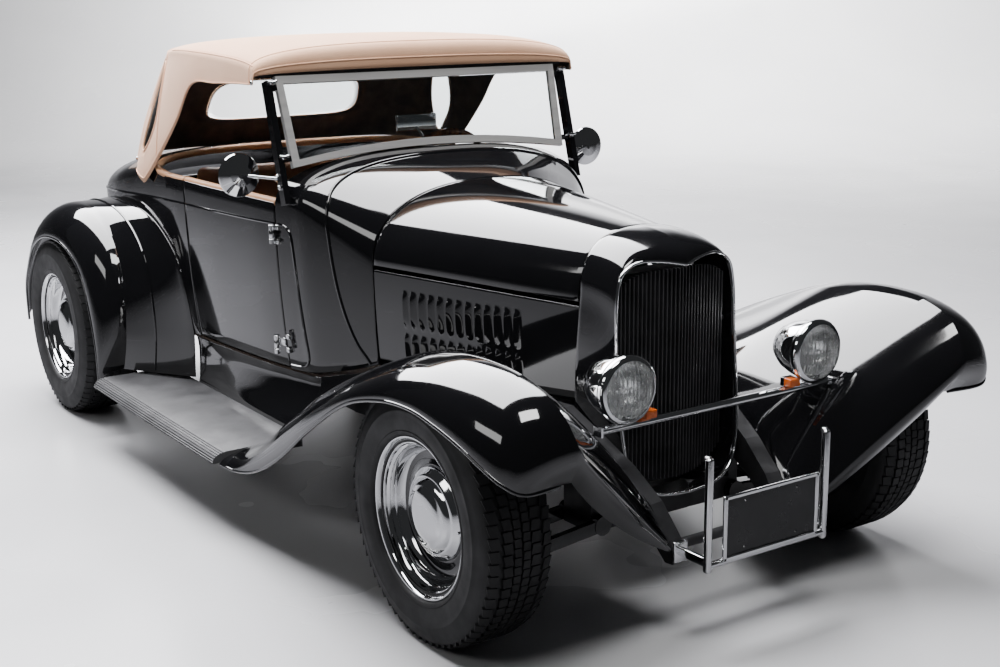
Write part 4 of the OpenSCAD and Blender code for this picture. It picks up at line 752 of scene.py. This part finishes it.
R = 88
for side, word in ((1, "_left"), (-1, "_right")):
    at = (295, side * 324, 654)
    bowl = bmesh.new()
    add_turned(bowl, [(R - 9, 33), (R - 8, 34), (R - 11, 60), (R - 20, 92), (R - 34, 119), (R - 52, 138), (R - 70, 149), (0, 152),
        (0, 148), (R - 54, 134), (R - 38, 112), (R - 26, 82), (R - 15, 40)], at, (-1, 0, 0), 64)
    rim = [(R - 13, -1), (R - 8, 0), (R - 4, 3), (R - 1, 7), (R, 13), (R - 1, 20), (R - 2.5, 25), (R - 3.5, 25.5), (R - 4, 30),
        (R - 9, 34), (R - 13, 30), (R - 12, 6)]
    add_turned(bowl, rim, at, (-1, 0, 0), 72, closed=True)
    add_turned(bowl, [(0, -80), (9.5, -80), (9.5, -66), (13, -62), (15, -54), (15, -50), (0, -50)],
        (262, side * 324, 645), (0, 0, 1), 24)
    add_block(bowl, (252, side * 324 - 13, 553), (272, side * 324 + 13, 572), 4)
    piece(bowl, "headlight_shell" + word, chrome, nodes=["headlights"], slot="chrome")
    dish = bmesh.new()
    add_turned(dish, [(R - 14, 6), (R - 20, 26), (R - 34, 46), (R - 60, 62), (0, 68)], at, (-1, 0, 0), 48)
    add_turned(dish, [(0, 24), (8, 26), (10, 34), (10, 60), (0, 66)], at, (-1, 0, 0), 20)
    piece(dish, "headlight_reflector" + word, lamp_silver, slot="chrome")
    lens = bmesh.new()
    face = [(R - 13, 1), (R - 20, -2.5), (R - 34, -7), (R - 60, -10.5), (0, -12)]
    add_turned(lens, face + [(0, -8.5), (R - 60, -7), (R - 34, -3.5), (R - 20, 1), (R - 13, 4)], at, (-1, 0, 0), 64, closed=False)
    piece(lens, "headlight_glass" + word, lamp_glass, slot="clear_glass")

    signal = bmesh.new()
    add_block(signal, (258, side * 248 - 18, 568), (286, side * 248 + 18, 590), 3)
    piece(signal, "signal_glass" + word, amber_lens, slot="amber", nodes=["signal_lamps"])
    case = bmesh.new()
    add_block(case, (246, side * 248 - 19, 566.5), (262, side * 248 + 19, 591), 3)
    piece(case, "signal_case" + word, gloss_black, slot="black_paint")

    lamp = bmesh.new()
    place, tilt = (rx - 397.2, side * 665, 520), (-math.sin(math.radians(71)), 0, math.cos(math.radians(71)))
    add_turned(lamp, [(39, 0), (38, 16), (30, 27), (16, 32), (0, 33), (0, 0)], place, tilt, 40)
    piece(lamp, "tail_lamp_glass" + word, red_lens, slot="red_lens", nodes=["tail_lamps"])
    rim = bmesh.new()
    add_turned(rim, [(36, -4), (42, -4), (44.5, 2), (44, 10), (41, 15), (38.5, 14), (38.5, 0)], place, tilt, 40, closed=True)
    piece(rim, "tail_lamp_rim" + word, chrome, slot="chrome")

guards = bmesh.new()
for y in (-200, 200):
    add_block(guards, (436, y - 9, 203), (455, y + 9, 499), 6)
    add_block(guards, (431, y - 7, 489), (449, y + 7, 503), 5)
    add_block(guards, (345, y - 6, 217), (440, y + 6, 241), 4)
    add_block(guards, (340, y - 22, 200), (350, y + 22, 256), 3)
add_tube(guards, [(446, y, 222) for y in np.linspace(-200, 200, 9)], 9, 16)
piece(guards, "bumper_guard_bars", chrome, nodes=["bumper_guards"], slot="chrome")

surround = bmesh.new()
for low, high in (((455, -163, 227), (464, 163, 239)), ((455, -163, 386), (464, 163, 397)),
        ((455, -163, 227), (464, -151, 397)), ((455, 151, 227), (464, 163, 397))):
    add_block(surround, low, high, 3)
piece(surround, "plate_surround", chrome, slot="chrome")

# Windscreen fittings -------------------------------------------------------------------------


def leaned(x, y, z):
    a = math.radians(15.5)
    return (-1125 + x * math.cos(a) - z * math.sin(a), y, 1116.6 + z * math.cos(a) + x * math.sin(a))


clamps = bmesh.new()
for side in (1, -1):
    for z in (222, -8):
        top = leaned(18, side * 548, z)
        add_turned(clamps, [(0, -12), (7, -12), (8, -10), (8, 10), (7, 12), (0, 12)], top, (1, 0, 0.28), 20)
        add_tube(clamps, [leaned(26, side * 548 - 15, z + 4), leaned(28, side * 548, z), leaned(26, side * 548 + 15, z + 4)], 4.5, 10)
    for z in (-62, -96):
        add_turned(clamps, [(0, 0), (8, 0), (8, 5), (5, 8), (0, 8.5)], leaned(0, side * 564, z), (0, side, 0), 16)
piece(clamps, "windscreen_fittings", chrome, slot="chrome")

# Rear-view mirror on its stalk
inner = bmesh.new()
add_block(inner, (-1262, -62, 1150), (-1250, 92, 1206), 4)
add_tube(inner, [(-1250, 14, 1160), (-1215, 14, 1136), (-1180, 14, 1118)], 5, 10)
piece(inner, "inside_mirror", chrome, slot="chrome")

# Steering wheel ------------------------------------------------------------------------------

column = (math.cos(math.radians(30)), 0, -math.sin(math.radians(30)))
to_driver = (-column[0], 0, -column[2])
hub = (-1595, 300, 949)
wheel = bmesh.new()
section = [(190 + 11.5 * math.cos(a), 11.5 * math.sin(a)) for a in np.linspace(0, 2 * math.pi, 14, endpoint=False)]
add_turned(wheel, section, hub, to_driver, 72, closed=True)
piece(wheel, "steering_wheel_rim", wheel_wood, "steering_wheel", ["steering_wheel"], "wheel_wood")
spokes = bmesh.new()
turn = Vector(to_driver).to_track_quat("Z", "X").to_matrix()
for angle in (90, 210, 330):
    a = math.radians(angle)
    path = [turn @ Vector((math.cos(a) * q, math.sin(a) * q, h)) for q, h in ((20, -12), (90, -13), (150, -8), (186, 0))]
    for shift in (-7, 0, 7):
        drift = turn @ Vector((-math.sin(a) * shift, math.cos(a) * shift, 0))
        add_tube(spokes, [Vector(hub) + p + drift for p in path], 3, 8)
add_turned(spokes, [(0, -34), (28, -34), (30, -30), (30, -10), (34, -6), (32, 2), (20, 7), (0, 8)], hub, to_driver, 40)
piece(spokes, "steering_wheel_spokes", chrome, "steering_wheel", slot="chrome")

# Gauges in the dashboard
gauges = bmesh.new()
dials = bmesh.new()
for y, size in ((300, 45), (190, 30), (110, 30), (20, 30), (-70, 30)):
    place = (-1130, y, 935)
    add_turned(gauges, [(size, 0), (size + 4, -1), (size + 5, -5), (size + 1, -7), (size - 2, -5)], place, (1, 0, 0), 32, closed=True)
    add_turned(dials, [(0, -2), (size, -2), (size, 2), (0, 2)], place, (1, 0, 0), 32)
piece(gauges, "gauge_rims", chrome, slot="chrome")
piece(dials, "gauge_faces", plate_black, slot="plate_black")

# Folding top ---------------------------------------------------------------------------------
# A station is [shoulder x, y, z, crown x, z, lower edge y, z, squareness, lower edge x].

tf = -1198.5
TOP = [[tf + 18, 600, ROOF - 112, tf + 18, ROOF - 99, 604, ROOF - 130, 2.6, tf + 16],
    [tf + 10, 602, ROOF - 98, tf + 10, ROOF - 26, 604, ROOF - 134, 2.6, tf + 8],
    [tf - 90, 604, ROOF - 82, tf - 90, ROOF - 4, 606, ROOF - 136, 2.6, tf - 90],
    [tf - 260, 604, ROOF - 70, tf - 260, ROOF, 608, ROOF - 142, 2.6, tf - 260],
    [rx + 990, 602, ROOF - 62, rx + 960, ROOF - 1, 612, ROOF - 154, 2.6, rx + 990],
    [rx + 850, 594, ROOF - 60, rx + 800, ROOF - 8, 618, ROOF - 276, 2.7, rx + 865],
    [rx + 730, 578, ROOF - 66, rx + 690, ROOF - 22, 626, ROOF - 392, 2.9, rx + 730],
    [rx + 640, 556, ROOF - 88, rx + 590, ROOF - 52, 634, ROOF - 506, 3.2, rx + 580],
    [rx + 575, 570, ROOF - 200, rx + 470, ROOF - 180, 636, ROOF - 512, 3.8, rx + 535],
    [rx + 500, 588, ROOF - 330, rx + 375, ROOF - 318, 628, ROOF - 490, 4, rx + 470],
    [rx + 421, 594, ROOF - 464, rx + 292, ROOF - 430, 602, ROOF - 478, 3.6, rx + 418]]
SIDE_SHARE = 0.3
WINDOWS = {"middle": (7.95, 9.1, SIDE_SHARE + 0.7 * 72.3 / 90, 2 - SIDE_SHARE - 0.7 * 72.3 / 90),
    "left": (6.5, 8.5, 0.1, SIDE_SHARE), "right": (6.5, 8.5, 2 - SIDE_SHARE, 1.9)}


def top_point(u, v):
    """v runs from the left lower edge at 0 over the crown at 1 to the right lower edge at 2."""
    s, w = along(TOP, u), min(v, 2 - v)
    if w < SIDE_SHARE:
        t = max(w / SIDE_SHARE, 0.0)
        p = np.array([s[8] + (s[0] - s[8]) * t, s[5] + (s[1] - s[5]) * t ** 1.6, s[6] + (s[2] - s[6]) * t])
    else:
        p = crown_point(s, (w - SIDE_SHARE) / (1 - SIDE_SHARE) * 90)
    return p if v <= 1 else flipped(p)


def rounded(u, v):
    """Eases the corners of each window into a curve, fading out in the cloth round it."""
    for low_u, high_u, low_v, high_v in WINDOWS.values():
        a, b = (2 * u - low_u - high_u) / (high_u - low_u), (2 * v - low_v - high_v) / (high_v - low_v)
        reach = max(abs(a), abs(b))
        if 0 < reach < 1.5:
            squared = reach / (abs(a) ** 3.4 + abs(b) ** 3.4) ** (1 / 3.4)
            fade = 1 if reach <= 1 else (1.5 - reach) / 0.5
            scale = 1 + (squared - 1) * fade
            u, v = u + a * (scale - 1) * (high_u - low_u) / 2, v + b * (scale - 1) * (high_v - low_v) / 2
    return top_point(u, v)


def spread(*stops):
    """Even steps between the stops, given as place, count, place, count, ... place."""
    out = [stops[0]]
    for k in range(1, len(stops), 2):
        out += list(np.linspace(out[-1], stops[k + 1], stops[k] + 1)[1:])
    return out


w0 = WINDOWS["middle"][2]
rows_u = spread(0, 4, 1, 36, 6.5, 12, 7.95, 6, 8.5, 6, 9.1, 8, 10)
half_v = spread(0, 5, 0.1, 10, 0.3, 18, w0, 7, 1)
cols_v = half_v + [2 - v for v in reversed(half_v[:-1])]
gaps = []
for low_u, high_u, low_v, high_v in WINDOWS.values():
    pick = lambda values, x: int(np.argmin([abs(q - x) for q in values]))
    gaps.append((pick(rows_u, low_u), pick(rows_u, high_u), pick(cols_v, low_v), pick(cols_v, high_v)))
grid = np.array([[rounded(u, v) for v in cols_v] for u in rows_u])
roof = panel("folding_top", grid, (rx + 1000, 0, 1100), [canvas, top_lining], wall=3.2, edge=0, gaps=gaps, lined=True,
    cloth=True, nodes=["soft_top"], slot="canvas", sharp=60)

seams = bmesh.new()
for side in (0, 1):
    mirror = (lambda v: v) if side == 0 else (lambda v: 2 - v)
    add_tube(seams, [top_point(u, mirror(0.375)) for u in np.linspace(1.05, 5.6, 50)], 2.2)
    add_tube(seams, [top_point(u, mirror(0.012)) for u in np.linspace(0.05, 10, 90)], 2.6)
add_tube(seams, [top_point(1.22, v) for v in np.linspace(0.03, 1.97, 80)], 2.0)
add_tube(seams, [top_point(0.45, v) for v in np.linspace(0.03, 1.97, 80)], 2.4)
add_tube(seams, [top_point(6.35, v) for v in np.linspace(0.02, 1.98, 80)], 2.2)
for name, window in WINDOWS.items():
    low_u, high_u, low_v, high_v = window
    loop = []
    for k in range(48):
        a = 2 * math.pi * k / 48
        square = max(abs(math.cos(a)), abs(math.sin(a)))
        p, q = math.cos(a) / square, math.sin(a) / square
        loop.append(rounded((low_u + high_u) / 2 + p * (high_u - low_u) / 2, (low_v + high_v) / 2 + q * (high_v - low_v) / 2))
    add_tube(seams, loop, 3.2, 8, closed=True)
seam_piece = piece(seams, "top_seams_and_hem", canvas, slot="canvas")

stitches = bmesh.new()
for start, v in ((0.1, 0.03), (0.1, 1.97), (1.1, 0.395), (1.1, 1.605)):
    end = 9.9 if v < 0.1 or v > 1.9 else 5.5
    places = [top_point(u, v) for u in np.linspace(start, end, 400)]
    gone = 0.0
    for a, b in zip(places, places[1:]):
        gone += np.linalg.norm(b - a)
        if gone > 9:
            gone = 0.0
            add_tube(stitches, [a, a + (b - a) / np.linalg.norm(b - a) * 4.6], 0.9, 4)
stitch_piece = piece(stitches, "top_stitches", canvas, slot="canvas")

snaps = bmesh.new()
for v in (0.05, 1.95):
    spot = top_point(0.9, v)
    add_turned(snaps, [(0, -1), (8, -1), (8, 1.5), (6.5, 4), (3, 5), (0, 5.2)], spot, (0, 1 if v < 1 else -1, 0), 18)
for v in np.linspace(0.35, 1.65, 9):
    spot = top_point(9.93, v)
    add_turned(snaps, [(0, -1), (6.5, -1), (6.5, 1.5), (4, 3.6), (0, 4)], spot, (-0.9, 0.2 * (1 - v), 0.4), 14)
snap_piece = piece(snaps, "top_snaps", chrome, slot="chrome")

panes = []
for name, (low_u, high_u, low_v, high_v) in WINDOWS.items():
    us, vs = np.linspace(low_u, high_u, 15), np.linspace(low_v, high_v, 15)
    flat = np.array([[rounded(u, v) for v in vs] for u in us])
    slope = np.cross(np.gradient(flat, axis=0), np.gradient(flat, axis=1))
    slope /= np.linalg.norm(slope, axis=2, keepdims=True)
    toward = np.array([rx + 1000, 0, 1100]) - flat.mean(axis=(0, 1))
    slope *= np.sign(slope.mean(axis=(0, 1)) @ toward)
    panes.append(panel("top_pane_" + name, flat + slope * 1.4, (rx + 1000, 0, 1100), clear_vinyl, wall=0.9, edge=0,
        nodes=["top_windows"], slot="clear_glass"))

# Seat ----------------------------------------------------------------------------------------


def cushion(name, corners, half, cap, channels, nodes=()):
    """A padded form blown up a little like stuffed leather, then sewn into channels."""
    mesh = bmesh.new()
    face = mesh.faces.new([mesh.verts.new(metres((x, -half, z))) for x, z in corners])
    grown = bmesh.ops.extrude_face_region(mesh, geom=[face])["geom"]
    bmesh.ops.translate(mesh, vec=(0, 2 * half / 1000, 0), verts=[g for g in grown if isinstance(g, bmesh.types.BMVert)])
    bmesh.ops.recalc_face_normals(mesh, faces=mesh.faces)
    bmesh.ops.bevel(mesh, geom=list(mesh.edges), offset=0.03, affect="EDGES", segments=4, profile=0.5, material=-1)
    made = piece(mesh, name, brown_leather, nodes=nodes, slot="tan_leather", sharp=80)
    start = made.modifiers.new("even", "REMESH")
    start.mode, start.voxel_size = "VOXEL", 0.011
    keep(made)
    rest = np.array([v.co for v in made.data.vertices])
    cloth = made.modifiers.new("stuffing", "CLOTH")
    cloth.settings.use_pressure = True
    cloth.settings.uniform_pressure_force = 4
    cloth.settings.effector_weights.gravity = 0
    for number in range(1, 21):
        scene.frame_set(number)
    keep(made)
    moved = np.array([v.co for v in made.data.vertices]) - rest
    far = np.linalg.norm(moved, axis=1, keepdims=True)
    placed = rest + moved * np.minimum(1, cap / 1000 / np.maximum(far, 1e-9))
    made.data.vertices.foreach_set("co", placed.astype(np.float32).ravel())
    scene.frame_set(1)
    for vertex in made.data.vertices:
        groove = abs(math.sin(vertex.co.y * math.pi / channels)) ** 0.35
        inward = vertex.normal * (groove - 1) * 0.007
        vertex.co += inward
    for polygon in made.data.polygons:
        polygon.use_smooth = True
    smooth = made.modifiers.new("smooth", "SUBSURF")
    smooth.levels = smooth.render_levels = 1
    return made


def keep(made):
    """Applies a piece's modifiers to its mesh."""
    shaped = made.evaluated_get(bpy.context.evaluated_depsgraph_get())
    data = bpy.data.meshes.new_from_object(shaped)
    for modifier in list(made.modifiers):
        made.modifiers.remove(modifier)
    made.data = data


cushion("seat_cushion", [(rx + 994, 452), (rx + 994, 668), (rx + 950, 686), (rx + 668, 642), (rx + 664, 452)], 486, 16, 0.162,
    nodes=["seat"])
cushion("seat_back", [(rx + 640, 470), (rx + 638, 690), (rx + 594, 1000), (rx + 548, 1000), (rx + 556, 470)], 452, 14, 0.301)

# Finishes of the nodes that stay as they are ---------------------------------------------------

STAYING = {"frame": satin_steel, "front_suspension": gloss_black, "rear_axle": satin_steel, "engine_block": cast_iron,
    "exhaust": chrome, "radiator": satin_steel, "grille": satin_steel, "firewall": gloss_black, "floor_pan": carpet,
    "windscreen_frame": frame_silver, "windscreen_glass": screen_glass, "windscreen_posts": gloss_black, "mirrors": chrome,
    "top_bows": satin_steel, "dashboard": brown_leather, "steering_column": satin_steel, "headlight_bar": chrome,
    "number_plate": plate_black, "knuckle_left": satin_steel, "knuckle_right": satin_steel, "tie_rod": satin_steel}
for node, finish in STAYING.items():
    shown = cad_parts[node]
    if not shown.material_slots:
        shown.data.materials.append(finish.material)
    for place in shown.material_slots:
        place.material = finish.material

# Studio floor and its curved backdrop
cove = bmesh.new()
bmesh.ops.create_grid(cove, x_segments=1, y_segments=40, size=1)
for vertex in cove.verts:
    step = (vertex.co.y + 1) / 2 * 40
    run = -14 + step * 0.9
    if run <= 9:
        place = Vector((0, run, 0))
    else:
        a = min((run - 9) / 4.5, 1) * math.pi / 2
        place = Vector((0, 9 + 3 * math.sin(a), 3 * (1 - math.cos(a)) + max(run - 13.5, 0) * 1.2))
    place.x = vertex.co.x * 22
    vertex.co = Matrix.Rotation(math.radians(57), 3, "Z") @ place
cove.normal_update()
data = bpy.data.meshes.new("studio_floor")
cove.to_mesh(data)
cove.free()
for polygon in data.polygons:
    polygon.use_smooth = True
studio = bpy.data.objects.new("studio_floor", data)
scene.collection.objects.link(studio)
data.materials.append(floor_paint.material)

bpy.context.view_layer.update()
